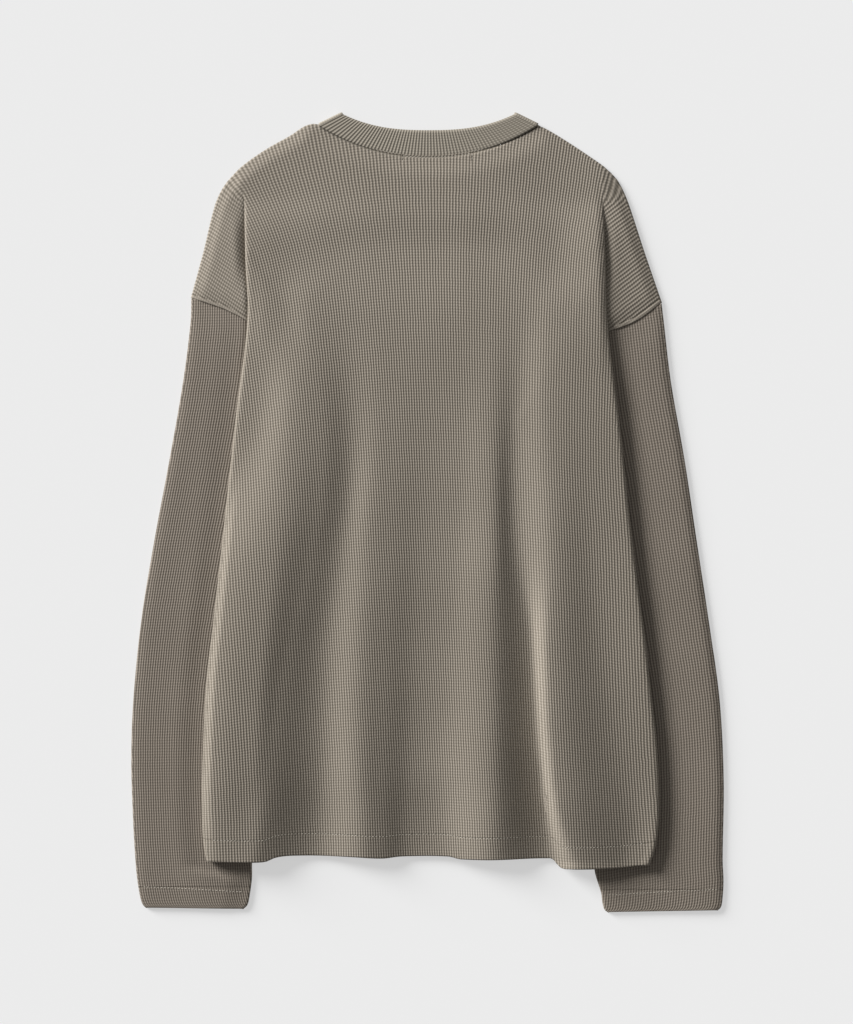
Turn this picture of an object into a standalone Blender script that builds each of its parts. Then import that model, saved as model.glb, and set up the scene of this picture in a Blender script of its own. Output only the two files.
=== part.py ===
"""A long-sleeved thermal top of waffle knit, laid flat with its back up.

Five sewn pieces, each a closed wall of cloth: back, front, two sleeves and a ribbed neckband.
The origin is on the surface under the middle of the top; +Y points to the neck, -Y to the hem,
+Z up. "Out" is the distance from the centre line towards either side. Each side of the body
is folded under: from the point of the shoulder pleat a fold runs down to the hem, and the
cloth returns below it to the side seam, or above the armpit to a second fold, the valley,
from where the dropped shoulder comes out again, low, to the armhole seam.
"""

from collections import namedtuple
from math import cos, hypot, pi, radians, sin

import bmesh
import bpy
from mathutils import Vector

MM = 0.001

# Cloth, in millimetres
CLOTH = 1.5             # one wall of waffle knit
LAYER_GAP = 0.4         # between the back and the front where they lie on each other
SEAM_GAP = 0.3          # between two pieces at a seam
SLANT = 2.0             # that gap, measured downwards, is so many times wider
ARMPIT_SLANT = 7.0      # and so many times at the armpit, where four edges meet
RIB = 2.6               # the neckband, a rib folded double
RIB_RELIEF = 0.3        # half the height from a rib's groove to its crest
RIB_PITCH = 3.2
RIB_FOLD_GAP = 1.0      # between its two halves where it is folded flat
MERGE = 1e-4            # points nearer than this are one
MOST_STRETCH = 1.15     # how far a wall's points move out at a sharp bend to keep its width
SHARP_EDGE = 40.0       # in degrees: steeper edges are shaded sharp
KNIT = (0.27, 0.24, 0.20)           # colours, linear
RIB_KNIT = (0.25, 0.225, 0.185)

# Heights of the middle of the back's wall, in millimetres
FLAP_Z = CLOTH * 1.5 + LAYER_GAP    # lying on the front, which lies on the surface
FRONT_DROP = CLOTH + LAYER_GAP      # from the middle of the back's wall to the front's
CREST_RADIUS = 3.9                  # the side fold, with the front folded inside it
VALLEY_RADIUS = 1.3                 # the fold under it, where the back lies on itself
STACK = 2 * (CREST_RADIUS + VALLEY_RADIUS)  # how far a full side fold lifts the back
FLAT_TURN = 1e-3                    # the least turn of a fold, in radians
NECK_LIFT = 2.2                     # over the front half of the neckband
NECK_LIFT_FULL = 128.0              # reach of that lift round the neck, and where it ends
NECK_LIFT_END = 175.0
CURL_RADIUS = 1.5                   # the back curls down over the front at the shoulder

CENTRE_X = 0.96         # puts the origin under the middle of the whole top
TOP_Y = 381.9           # where the neckband is folded at its two peaks

# Neck, as half widths, levels and how far the middle lies below the ends
NECK_HALF = 104.5
NECK_POINT_Y = 372.0
BACK_NECK_DROP = 29.8
FRONT_NECK_DROP = 111.4
NECK_CURVE = 2.2
BAND_HALF = 82.0        # half width between the neckband's two peaks
BAND_DIP = 15.2
BAND_CURVE = 2.6
FRONT_BAND_DROP = 94.4

ARMPIT_Y = 87.8
PLEAT_RUN = 60.0        # below its point, the pleat is fully folded after this length
SLOPE_RUN = {-1: 56.0, 1: 34.0}     # the back slopes down beside a hidden edge over this width
SLOPE_RUN_TOP = 150.0   # and over this one above the armpits
RIDGE_END = 14.0        # ridges fade out over this width beside the side folds
FLAP_BOW = 9.0          # how far the uppermost rows of the dropped shoulder bow outwards

Station = namedtuple("Station", "y out")
Column = namedtuple("Column", "neck chest waist hem hem_y")
Ridge = namedtuple("Ridge", "y x left right height")

# One entry for each side: -1 is the left, +1 the right.
# Hidden side seam, from the armpit to the hem
SIDE_SEAM = {
    -1: (
        Station(y=87.8, out=84.5),
        Station(y=30.2, out=114.0),
        Station(y=-46.6, out=141.0),
        Station(y=-123.4, out=156.0),
        Station(y=-219.4, out=161.0),
        Station(y=-335.0, out=168.0),
    ),
    1: (
        Station(y=87.8, out=84.5),
        Station(y=30.2, out=108.0),
        Station(y=-46.6, out=120.0),
        Station(y=-123.4, out=128.0),
        Station(y=-219.4, out=133.0),
        Station(y=-335.0, out=142.0),
    ),
}
# Inner, underarm edge of a sleeve, hidden down to the hem
UNDERARM = {
    -1: (
        Station(y=87.8, out=84.5),
        Station(y=30.2, out=103.0),
        Station(y=-46.6, out=128.5),
        Station(y=-123.4, out=146.0),
        Station(y=-219.4, out=161.0),
        Station(y=-336.5, out=171.8),
        Station(y=-380.6, out=177.6),
    ),
    1: (
        Station(y=87.8, out=84.5),
        Station(y=30.2, out=103.0),
        Station(y=-46.6, out=122.0),
        Station(y=-123.4, out=135.0),
        Station(y=-219.4, out=147.0),
        Station(y=-344.2, out=160.3),
        Station(y=-383.5, out=171.8),
    ),
}
# Visible edge of the side fold
SIDE_FOLD = {
    -1: (
        Station(y=311.5, out=180.5),
        Station(y=299.0, out=177.6),
        Station(y=241.4, out=175.7),
        Station(y=183.8, out=173.8),
        Station(y=87.8, out=185.3),
        Station(y=-27.4, out=197.8),
        Station(y=-104.2, out=206.4),
        Station(y=-161.8, out=212.2),
        Station(y=-238.6, out=216.0),
        Station(y=-335.0, out=215.0),
    ),
    1: (
        Station(y=308.6, out=167.0),
        Station(y=299.0, out=168.0),
        Station(y=241.4, out=169.9),
        Station(y=183.8, out=171.8),
        Station(y=78.2, out=184.3),
        Station(y=-27.4, out=195.8),
        Station(y=-123.4, out=208.3),
        Station(y=-171.4, out=213.0),
        Station(y=-219.4, out=217.9),
        Station(y=-338.0, out=217.9),
    ),
}
# Outline of the shoulder, from the neck point to the top of the armhole seam
SHOULDER = {
    -1: (
        Station(y=372.0, out=104.5),
        Station(y=367.7, out=120.0),
        Station(y=356.6, out=137.3),
        Station(y=337.4, out=166.1),
        Station(y=327.8, out=179.5),
        Station(y=318.2, out=189.1),
        Station(y=304.0, out=198.2),
        Station(y=289.4, out=205.4),
        Station(y=251.0, out=215.0),
        Station(y=205.9, out=228.5),
    ),
    1: (
        Station(y=372.0, out=104.5),
        Station(y=367.7, out=114.0),
        Station(y=356.6, out=132.5),
        Station(y=337.4, out=161.3),
        Station(y=327.8, out=173.8),
        Station(y=318.2, out=182.4),
        Station(y=304.0, out=189.6),
        Station(y=289.4, out=194.9),
        Station(y=251.0, out=207.4),
        Station(y=201.0, out=224.6),
    ),
}
# Armhole seam, from the outline to the armpit under the body
ARMHOLE = {
    -1: (
        Station(y=205.9, out=228.5),
        Station(y=200.2, out=211.2),
        Station(y=194.4, out=194.9),
        Station(y=182.9, out=173.8),
        Station(y=140.0, out=127.0),
        Station(y=87.8, out=84.5),
    ),
    1: (
        Station(y=201.0, out=224.6),
        Station(y=181.9, out=203.5),
        Station(y=177.0, out=188.0),
        Station(y=172.0, out=170.0),
        Station(y=136.0, out=125.0),
        Station(y=87.8, out=84.5),
    ),
}
# Outer edge of a sleeve, from the armhole to the cuff
SLEEVE_EDGE = {
    -1: (
        Station(y=205.9, out=228.5),
        Station(y=183.8, out=229.0),
        Station(y=126.2, out=236.2),
        Station(y=49.4, out=249.6),
        Station(y=-27.4, out=264.0),
        Station(y=-104.2, out=276.5),
        Station(y=-181.0, out=284.2),
        Station(y=-238.6, out=286.1),
        Station(y=-296.2, out=284.2),
        Station(y=-381.6, out=276.0),
    ),
    1: (
        Station(y=201.0, out=224.6),
        Station(y=183.8, out=226.5),
        Station(y=126.2, out=233.3),
        Station(y=49.4, out=246.7),
        Station(y=-27.4, out=258.2),
        Station(y=-104.2, out=269.8),
        Station(y=-181.0, out=280.3),
        Station(y=-257.8, out=284.2),
        Station(y=-334.6, out=283.2),
        Station(y=-384.0, out=283.0),
    ),
}
CUFF_Y = {-1: (-381.6, -381.2), 1: (-384.0, -384.4)}    # outer and inner corner

# Columns of the body from beyond the centre to the side fold: how far out each is at the
# neck or shoulder, the chest, the waist and the hem, and how low the hem is there. They
# follow the crests and troughs of the largest folds.
COLUMN_TOP_Y = 300.0
CHEST_Y = 30.2
WAIST_Y = -123.4
COLUMNS = {
    -1: (
        Column(neck=0.0, chest=0.0, waist=0.0, hem=0.0, hem_y=-329.8),
        Column(neck=27.0, chest=12.5, waist=14.4, hem=14.4, hem_y=-329.8),
        Column(neck=52.3, chest=25.0, waist=29.8, hem=28.8, hem_y=-331.2),
        Column(neck=73.9, chest=36.5, waist=45.1, hem=44.2, hem_y=-332.6),
        Column(neck=90.5, chest=48.0, waist=60.5, hem=59.5, hem_y=-332.6),
        Column(neck=100.9, chest=61.4, waist=78.7, hem=82.5, hem_y=-330.7),
        Column(neck=104.5, chest=74.9, waist=97.9, hem=105.6, hem_y=-329.8),
        Column(neck=122.0, chest=98.9, waist=118.1, hem=126.7, hem_y=-329.8),
        Column(neck=140.0, chest=119.0, waist=142.1, hem=151.7, hem_y=-331.7),
        Column(neck=159.0, chest=139.2, waist=175.7, hem=180.5, hem_y=-336.5),
    ),
    1: (
        Column(neck=0.0, chest=0.0, waist=0.0, hem=0.0, hem_y=-329.8),
        Column(neck=27.0, chest=19.2, waist=19.2, hem=18.2, hem_y=-330.7),
        Column(neck=52.3, chest=39.4, waist=39.4, hem=37.4, hem_y=-331.7),
        Column(neck=73.9, chest=59.5, waist=59.5, hem=56.6, hem_y=-331.7),
        Column(neck=90.5, chest=70.1, waist=76.8, hem=74.9, hem_y=-331.7),
        Column(neck=100.9, chest=80.6, waist=94.1, hem=94.1, hem_y=-332.0),
        Column(neck=104.5, chest=96.0, waist=111.4, hem=113.3, hem_y=-333.0),
        Column(neck=119.0, chest=112.3, waist=128.6, hem=140.2, hem_y=-342.0),
        Column(neck=134.0, chest=128.6, waist=147.0, hem=168.0, hem_y=-342.2),
        Column(neck=149.0, chest=155.5, waist=170.0, hem=195.8, hem_y=-341.0),
    ),
}
FOLD_HEM_Y = {-1: -332.0, 1: -337.0}    # the hem at the side fold
NECK_COLUMN = 6                         # the column at the neck point
UPPER_SHOULDER = 6                      # stations of the shoulder's outline above its corner

# Soft ridges down the lower back, named by their place: at each level the crest's place,
# how far it reaches to the left and right, and its height
RIDGES = {
    "left side": (
        Ridge(y=150.0, x=-132.0, left=30.0, right=40.0, height=0.0),
        Ridge(y=30.2, x=-138.0, left=36.0, right=42.0, height=1.6),
        Ridge(y=-123.4, x=-173.0, left=28.0, right=60.0, height=2.4),
        Ridge(y=-335.0, x=-180.0, left=26.0, right=62.0, height=2.2),
    ),
    "left of the middle": (
        Ridge(y=180.0, x=-41.0, left=30.0, right=38.0, height=0.0),
        Ridge(y=107.0, x=-41.0, left=32.0, right=38.0, height=1.2),
        Ridge(y=30.2, x=-48.0, left=27.0, right=45.0, height=3.2),
        Ridge(y=-123.4, x=-60.0, left=38.0, right=60.0, height=6.0),
        Ridge(y=-335.0, x=-59.5, left=46.0, right=58.0, height=7.0),
    ),
    "right of the middle": (
        Ridge(y=180.0, x=62.0, left=60.0, right=16.0, height=0.0),
        Ridge(y=107.0, x=62.0, left=64.0, right=15.0, height=1.4),
        Ridge(y=30.2, x=59.5, left=62.0, right=22.0, height=4.0),
        Ridge(y=-123.4, x=59.5, left=60.0, right=35.0, height=7.0),
        Ridge(y=-335.0, x=56.6, left=58.0, right=57.0, height=8.5),
    ),
    "right side": (
        Ridge(y=180.0, x=128.0, left=50.0, right=30.0, height=0.0),
        Ridge(y=30.2, x=128.0, left=48.0, right=30.0, height=1.2),
        Ridge(y=-123.4, x=128.6, left=35.0, right=41.0, height=2.4),
        Ridge(y=-335.0, x=140.2, left=27.0, right=56.0, height=3.0),
    ),
}

# How finely the cloth is divided
LEVELS_BELOW_POINT = (0.0, 12.0, 24.0, 36.0, 48.0, 60.0, 84.0, 114.0, 148.0, 186.0)
LOWER_ROWS = 14
CREST_STEPS = 4
RETURN_STEPS = 3
VALLEY_STEPS = 3
FLAP_STEPS = 5
CURL_STEPS = 2
SLEEVE_RINGS = 16
SLEEVE_EDGE_STEPS = 3
SLEEVE_PUFF = 2.4       # how far the upper layer of a sleeve stands off the lower one
PUFF_START = 0.06       # shares of the sleeve's length where that puff is full, and where
PUFF_END = 0.9          # it begins to sink again towards the cuff
CUFF_PUFF = 0.35        # what is left of it at the cuff
HIDDEN_MARGIN = 6.0     # it has ended this far outside the body's edge
BARE_MARGIN = 6.0       # below the body's hem it widens to the whole sleeve from here,
BARE_RUN = 14.0         # over this length
BAND_ROWS = (0.0, 1.1, 9.0, 17.0, 24.5)
BAND_EDGE_SHARE = 0.45  # the neckband's free edge is this share of its full wall
FRONT_BAND_STATIONS = 24
BAND_TURN_STEPS = 3

ARMPIT_ROW = len(LEVELS_BELOW_POINT) + 1
NECK_ROWS = ARMPIT_ROW - 3              # rows whose places the neckline shapes
LAST_ROW = ARMPIT_ROW + LOWER_ROWS
FOLD_COLUMN = len(COLUMNS[1])
SEAM_COLUMN = FOLD_COLUMN + CREST_STEPS + RETURN_STEPS
FLAP_COLUMN = SEAM_COLUMN + VALLEY_STEPS
LAST_COLUMN = FLAP_COLUMN + FLAP_STEPS


def clamp(t):
    return max(0.0, min(1.0, t))


def ease(t):
    t = clamp(t)
    return t * t * (3 - 2 * t)


def mix(a, b, t):
    return a + (b - a) * t


def follow(knots, values, at):
    """A smooth curve through values, read where the knots' own number is at."""
    if knots[0] > knots[-1]:
        knots, values = knots[::-1], values[::-1]
    if at <= knots[0]:
        return values[0]
    if at >= knots[-1]:
        return values[-1]
    last = len(knots) - 1
    i = next(n for n in range(last) if at <= knots[n + 1])

    def slope(n):
        a, b = max(n - 1, 0), min(n + 1, last)
        return (values[b] - values[a]) / (knots[b] - knots[a])

    width = knots[i + 1] - knots[i]
    t = (at - knots[i]) / width
    rest = 1 - t
    return (
        values[i] * rest * rest * (1 + 2 * t)
        + values[i + 1] * t * t * (3 - 2 * t)
        + width * t * rest * (slope(i) * rest - slope(i + 1) * t)
    )


def out_at(stations, y):
    return follow([s.y for s in stations], [s.out for s in stations], y)


def along(stations, share):
    """The point (out, y) at a share of the length of a line of stations."""
    marks = [0.0]
    for a, b in zip(stations, stations[1:]):
        marks.append(marks[-1] + hypot(b.out - a.out, b.y - a.y))
    at = share * marks[-1]
    return (
        follow(marks, [s.out for s in stations], at),
        follow(marks, [s.y for s in stations], at),
    )


def stripped(stations, width):
    """The line moved to its right-hand side, that is inwards on a line running down."""
    moved = []
    for i, s in enumerate(stations):
        a, b = stations[max(i - 1, 0)], stations[min(i + 1, len(stations) - 1)]
        run, fall = b.out - a.out, b.y - a.y
        length = hypot(run, fall)
        moved.append(Station(y=s.y - width * run / length, out=s.out + width * fall / length))
    return tuple(moved)


def pleat_point(side):
    return SIDE_FOLD[side][0]


def turn(side, y):
    """How far the side fold has turned under at a level, up to half a turn."""
    return max(FLAT_TURN, pi * ease((pleat_point(side).y - y) / PLEAT_RUN))


def bend_radius(full_radius, angle):
    """The radius of a fold that has turned by angle: its cloth is as long as when it is full."""
    return pi * full_radius / angle


def crest_out(side, y):
    """Where the side fold's bend begins."""
    angle = turn(side, y)
    reach = bend_radius(CREST_RADIUS, angle) * sin(min(angle, pi / 2))
    return out_at(SIDE_FOLD[side], y) - CLOTH / 2 - reach


def hidden_out(side, y):
    """The inner edge of what is folded under: the valley above the armpit, then the seam."""
    if y <= ARMPIT_Y:
        return out_at(SIDE_SEAM[side], y)
    start = pleat_point(side).y - PLEAT_RUN
    t = clamp((start - y) / (start - ARMPIT_Y))
    return mix(crest_out(side, y), SIDE_SEAM[side][0].out, t)


def neck_lift(x, y):
    """How far the back is lifted where the front half of the neckband lies under it."""
    away = hypot(x, y - NECK_POINT_Y + BACK_NECK_DROP)
    return NECK_LIFT * (1 - ease((away - NECK_LIFT_FULL) / (NECK_LIFT_END - NECK_LIFT_FULL)))


def side_lift(side, out, y):
    """How far the back is lifted by what is folded under it."""
    angle = turn(side, y)
    lift = bend_radius(CREST_RADIUS + VALLEY_RADIUS, angle) * (1 - cos(angle))
    high = ease((y - CHEST_Y) / (pleat_point(side).y - CHEST_Y))
    run = mix(SLOPE_RUN[side], SLOPE_RUN_TOP, high)
    return lift * ease((out - hidden_out(side, y)) / run + 1)


def ridge_lift(rows, x, y):
    levels = [r.y for r in rows]
    if y >= levels[0]:
        return 0.0
    crest = follow(levels, [r.x for r in rows], y)
    reach = follow(levels, [r.left if x < crest else r.right for r in rows], y)
    height = max(0.0, follow(levels, [r.height for r in rows], y))
    t = abs(x - crest) / reach
    return height * cos(pi / 2 * t) ** 2 if t < 1 else 0.0


def body_height(x, y):
    """The middle of the back's wall where it shows."""
    left, right = side_lift(-1, -x, y), side_lift(1, x, y)
    lift = left + right - left * right / STACK + neck_lift(x, y)
    edge = ease((crest_out(-1 if x < 0 else 1, y) - abs(x)) / RIDGE_END)
    return FLAP_Z + lift + sum(ridge_lift(rows, x, y) for rows in RIDGES.values()) * edge


def back_neck_y(out):
    return NECK_POINT_Y - BACK_NECK_DROP * (1 - (out / NECK_HALF) ** NECK_CURVE)


def front_neck_y(out):
    return NECK_POINT_Y - FRONT_NECK_DROP * (1 - (out / NECK_HALF) ** 2) ** 0.5


def shoulder_line(side):
    return stripped(SHOULDER[side], CLOTH / 2 + CURL_RADIUS)


def top_y(side, out, neck_y):
    """The upper edge of a panel: the neckline, then the shoulder."""
    if out <= NECK_HALF:
        return neck_y(out)
    line = shoulder_line(side)[:UPPER_SHOULDER]
    return follow([s.out for s in line], [s.y for s in line], out)


def side_levels(side):
    """Levels of the rows down the side fold, from the shoulder's edge to the hem."""
    point = pleat_point(side)
    edge = top_y(side, crest_out(side, point.y), back_neck_y)
    upper = [edge] + [point.y - d for d in LEVELS_BELOW_POINT] + [ARMPIT_Y]
    step = (ARMPIT_Y - FOLD_HEM_Y[side]) / LOWER_ROWS
    return upper + [ARMPIT_Y - step * (n + 1) for n in range(LOWER_ROWS)]


def row_shares(side):
    """How far down the side fold the upper rows are, as shares of the way to the armpit."""
    levels = side_levels(side)[: ARMPIT_ROW + 1]
    return [(levels[0] - level) / (levels[0] - levels[-1]) for level in levels]


def column_out(side, column, y, crest):
    if column == FOLD_COLUMN:
        return crest
    c = COLUMNS[side][column]
    levels = [COLUMN_TOP_Y, CHEST_Y, WAIST_Y, c.hem_y]
    return follow(levels, [c.neck, c.chest, c.waist, c.hem], y)


def upper_share(row, column, levels):
    """How far down an upper row is between the panel's top and the armpit: evenly near the
    centre, and as far as at the side fold beside it."""
    at_fold = (levels[0] - levels[row]) / (levels[0] - ARMPIT_Y)
    return mix(row / ARMPIT_ROW, at_fold, ease(column / FOLD_COLUMN))


def shown_points(side, row, levels, neck_y):
    """Points of a row across the part of a panel that lies on top, as (out, y)."""
    crest = crest_out(side, min(levels[row], pleat_point(side).y))
    hems = [c.hem_y for c in COLUMNS[side]] + [FOLD_HEM_Y[side]]
    points = []
    for column in range(FOLD_COLUMN + 1):
        if row > ARMPIT_ROW:
            y = mix(ARMPIT_Y, hems[column], (row - ARMPIT_ROW) / LOWER_ROWS)
            points.append((column_out(side, column, y, crest), y))
            continue
        top_out = COLUMNS[side][column].neck if column < FOLD_COLUMN else crest
        top = top_y(side, top_out, back_neck_y)
        if row <= NECK_ROWS and column <= NECK_COLUMN:
            low = mix(top, ARMPIT_Y, upper_share(NECK_ROWS, column, levels))
            y = mix(top_y(side, top_out, neck_y), low, row / NECK_ROWS)
            out = mix(top_out, column_out(side, column, low, crest), row / NECK_ROWS)
        else:
            y = mix(top, ARMPIT_Y, upper_share(row, column, levels))
            out = column_out(side, column, y, crest)
        points.append((out, y))
    return points


def folded_points(side, row, start, levels):
    """Points of a row round the side fold and under it, as (out, y, height)."""
    out, y = start
    z = body_height(side * out, y)
    angle = turn(side, y)
    crest = bend_radius(CREST_RADIUS, angle)
    valley = bend_radius(VALLEY_RADIUS, angle)

    def level(at):
        return top_y(side, at, back_neck_y) if row == 0 else y

    points = []
    for n in range(1, CREST_STEPS + 1):
        a = angle * n / CREST_STEPS
        at = out + crest * sin(a)
        points.append((at, level(at), z - crest * (1 - cos(a))))
    end_out, end_y, end_z = points[-1]
    width = max(0.0, end_out - hidden_out(side, y)) if angle == pi else 0.0
    for n in range(1, RETURN_STEPS + 1):
        points.append((end_out - width * n / RETURN_STEPS, end_y, end_z))
    if row > ARMPIT_ROW:
        return points
    end_out -= width
    for n in range(1, VALLEY_STEPS + 1):
        a = angle - angle * n / VALLEY_STEPS
        at = end_out + valley * (sin(angle) - sin(a))
        points.append((at, level(at), end_z - valley * (cos(a) - cos(angle))))
    return points + flap_points(side, row, points[-1])


def flap_points(side, row, start):
    """Points of a row over the dropped shoulder, from under the fold to the armhole."""
    out, y, z = start
    if row == 0:
        path = [Station(y=y, out=out)] + [s for s in shoulder_line(side) if s.out > out + CLOTH]
        spots = [along(path, n / FLAP_STEPS) for n in range(1, FLAP_STEPS + 1)]
        return [(o, y, z) for o, y in spots]
    share = row_shares(side)[row]
    end_out, end_y = along(armhole_line(side), share)
    bow = FLAP_BOW * (1 - share) ** 3
    points = []
    for n in range(1, FLAP_STEPS + 1):
        t = n / FLAP_STEPS
        points.append((mix(out, end_out, t) + bow * sin(pi * t), mix(y, end_y, t), z))
    return points


def armhole_line(side):
    """The armhole seam, from the inset end of the shoulder's outline."""
    tip = shoulder_line(side)[-1]
    return (tip,) + ARMHOLE[side][1:]


def panel_points(neck_y):
    """Middle of a panel's wall as {(side, row, column): place in millimetres}."""
    points = {}
    for side in (-1, 1):
        levels = side_levels(side)
        for row in range(LAST_ROW + 1):
            shown = shown_points(side, row, levels, neck_y)
            whole = [(out, y, body_height(side * out, y)) for out, y in shown]
            whole += folded_points(side, row, shown[-1], levels)
            for column, (out, y, z) in enumerate(whole):
                points[side, row, column] = Vector((side * out + CENTRE_X, y, z))
    return points


def edge_way(line, place):
    """The direction straight out from a line of points at one of them."""
    at = line.index(place)
    before = [p for p in line[:at] if (p - place).length > MERGE] or [place]
    after = [p for p in line[at:] if (p - place).length > MERGE] or [place]
    run = after[0] - before[-1]
    return Vector((-run.y, run.x, 0)).normalized()


def add_curl(points):
    """Rows -1 and -2 of the back: its edge curls down over the front at the shoulder."""
    for side in (-1, 1):
        columns = range(NECK_COLUMN, LAST_COLUMN + 1)
        line = [points[side, 0, column] for column in columns]
        for column, here in zip(columns, line):
            way = edge_way(line, here) * side
            size = 0.0 if column == NECK_COLUMN else CURL_RADIUS
            for n in range(1, CURL_STEPS + 1):
                a = pi / 2 * n / CURL_STEPS
                drop = Vector((0, 0, size * (1 - cos(a))))
                points[side, -n, column] = here + way * size * sin(a) - drop


def panel_faces(points):
    faces = []
    for side, row, column in points:
        corners = [
            (side, row, column),
            (side, row + 1, column),
            (side, row + 1, column + 1),
            (side, row, column + 1),
        ]
        if all(c in points for c in corners):
            faces.append(corners if side > 0 else corners[::-1])
    return faces


def wall(name, points, faces, outside, inside, colour):
    """A closed wall on a middle surface: outside and inside give, for a key and its place,
    how far the wall's two faces lie from that surface along its normal."""
    middle = bmesh.new()
    verts, keys = {}, {}
    index = {}
    for key, place in points.items():
        spot = tuple(round(v / MERGE) for v in place)
        if spot not in index:
            index[spot] = middle.verts.new(place)
            keys[index[spot]] = key
        verts[key] = index[spot]
    for face in faces:
        ring = []
        for key in face:
            if verts[key] not in ring:
                ring.append(verts[key])
        if len(ring) > 2 and not middle.faces.get(ring):
            middle.faces.new(ring)
    loose = [v for v in middle.verts if not v.link_faces]
    for v in loose:
        middle.verts.remove(v)
    middle.normal_update()
    middle.verts.index_update()

    shell = bmesh.new()
    outer, inner = [], []
    for v in middle.verts:
        way = v.normal * min(v.calc_shell_factor(), MOST_STRETCH)
        for ring, distance in ((outer, outside), (inner, inside)):
            place = v.co + way * distance(keys[v], v.co)
            place.z = max(place.z, 0.0)
            ring.append(shell.verts.new(place * MM))
    for face in middle.faces:
        ring = [v.index for v in face.verts]
        shell.faces.new([outer[i] for i in ring])
        shell.faces.new([inner[i] for i in reversed(ring)])
    for edge in middle.edges:
        if len(edge.link_faces) == 1:
            loop = edge.link_faces[0].loops
            a, b = next(
                (lp.vert.index, lp.link_loop_next.vert.index)
                for lp in loop
                if lp.edge == edge
            )
            shell.faces.new((outer[b], outer[a], inner[a], inner[b]))
    middle.free()
    return finish_mesh(name, shell, colour)


def finish_mesh(name, shell, colour):
    bmesh.ops.triangulate(shell, faces=shell.faces[:])
    mesh = bpy.data.meshes.new(name)
    shell.to_mesh(mesh)
    shell.free()
    mesh.shade_smooth()
    mesh.set_sharp_from_angle(angle=radians(SHARP_EDGE))
    material = bpy.data.materials.new(name + "_knit")
    material.use_nodes = True
    surface = material.node_tree.nodes["Principled BSDF"]
    surface.inputs["Base Color"].default_value = (*colour, 1)
    surface.inputs["Roughness"].default_value = 0.95
    surface.inputs["Metallic"].default_value = 0.0
    mesh.materials.append(material)
    piece = bpy.data.objects.new(name, mesh)
    bpy.context.scene.collection.objects.link(piece)
    return piece


def level_wall(amount):
    return lambda key, place: amount


def make_back():
    points = panel_points(back_neck_y)
    add_curl(points)
    half = CLOTH / 2
    return wall("back_panel", points, panel_faces(points), level_wall(half), level_wall(-half),
                KNIT)


def make_front():
    points = panel_points(front_neck_y)

    def outside(key, place):
        lift = neck_lift(place.x - CENTRE_X, place.y) if key[2] <= FOLD_COLUMN else 0.0
        return CLOTH / 2 - FRONT_DROP - lift

    def inside(key, place):
        return outside(key, place) - CLOTH

    return wall("front_panel", points, panel_faces(points), outside, inside, KNIT)


def sleeve_plan(side, across, down):
    """A sleeve seen from above, as (out, y): across from its outer to its underarm edge,
    down from the armhole to the cuff."""
    seam = armhole_line(side)
    outer_top, inner_top = along(seam, 0.0), along(seam, 1.0)
    edge = stripped(SLEEVE_EDGE[side], CLOTH / 2 + VALLEY_RADIUS)
    edge = (Station(y=outer_top[1], out=outer_top[0]),) + edge[1:]
    outer_low, inner_low = along(edge, 1.0), along(UNDERARM[side], 1.0)
    outer_low = (outer_low[0], CUFF_Y[side][0])
    inner_low = (inner_low[0], CUFF_Y[side][1])
    top, outer, inner = along(seam, across), along(edge, down), along(UNDERARM[side], down)
    spot = []
    for k in (0, 1):
        low = mix(outer_low[k], inner_low[k], across)
        sides = mix(outer[k], inner[k], across)
        ends = mix(top[k], low, down)
        corners = mix(
            mix(outer_top[k], inner_top[k], across),
            mix(outer_low[k], inner_low[k], across),
            down,
        )
        spot.append(sides + ends - corners)
    gap = SEAM_GAP * mix(SLANT, ARMPIT_SLANT, across ** 4)
    return spot[0], spot[1] - gap * (1 - down)


def sleeve_puff(side, out, y, down):
    """How far the sleeve's upper layer stands off where the body doesn't lie on it."""
    outer = sleeve_plan(side, 0.0, down)[0]
    inner = sleeve_plan(side, 1.0, down)[0]
    bare = ease((FOLD_HEM_Y[side] - BARE_MARGIN - y) / BARE_RUN)
    edge = mix(out_at(SIDE_FOLD[side], y) + HIDDEN_MARGIN, inner, bare)
    share = clamp((outer - out) / max(outer - edge, 1.0))
    ends = ease(down / PUFF_START) * mix(1.0, CUFF_PUFF, ease((down - PUFF_END) / (1 - PUFF_END)))
    return SLEEVE_PUFF * sin(pi * share) * ends if share < 1 else 0.0


def make_sleeve(side, name):
    """A flattened tube: rings from the armhole to the cuff, open at both ends."""
    points, faces = {}, []
    low = CLOTH / 2
    radius = (FLAP_Z - low) / 2
    bends = [pi * n / SLEEVE_EDGE_STEPS for n in range(1, SLEEVE_EDGE_STEPS)]
    spots = row_shares(side)
    for ring in range(SLEEVE_RINGS + 1):
        down = ring / SLEEVE_RINGS
        loop = []
        for across in spots:
            out, y = sleeve_plan(side, across, down)
            loop.append((out, y, FLAP_Z + sleeve_puff(side, out, y, down)))
        out, y = sleeve_plan(side, 1.0, down)
        loop += [(out - radius * sin(a), y, low + radius * (1 + cos(a))) for a in bends]
        loop += [(*sleeve_plan(side, across, down), low) for across in reversed(spots)]
        out, y = sleeve_plan(side, 0.0, down)
        loop += [(out + radius * sin(a), y, low + radius * (1 - cos(a))) for a in bends]
        for n, (out, y, z) in enumerate(loop):
            points[ring, n] = Vector((side * out + CENTRE_X, y, z))
    count = len(loop)
    for ring in range(SLEEVE_RINGS):
        for n in range(count):
            m = (n + 1) % count
            face = [(ring, n), (ring + 1, n), (ring + 1, m), (ring, m)]
            faces.append(face if side < 0 else face[::-1])
    half = CLOTH / 2
    return wall(name, points, faces, level_wall(half), level_wall(-half), KNIT)


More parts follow.
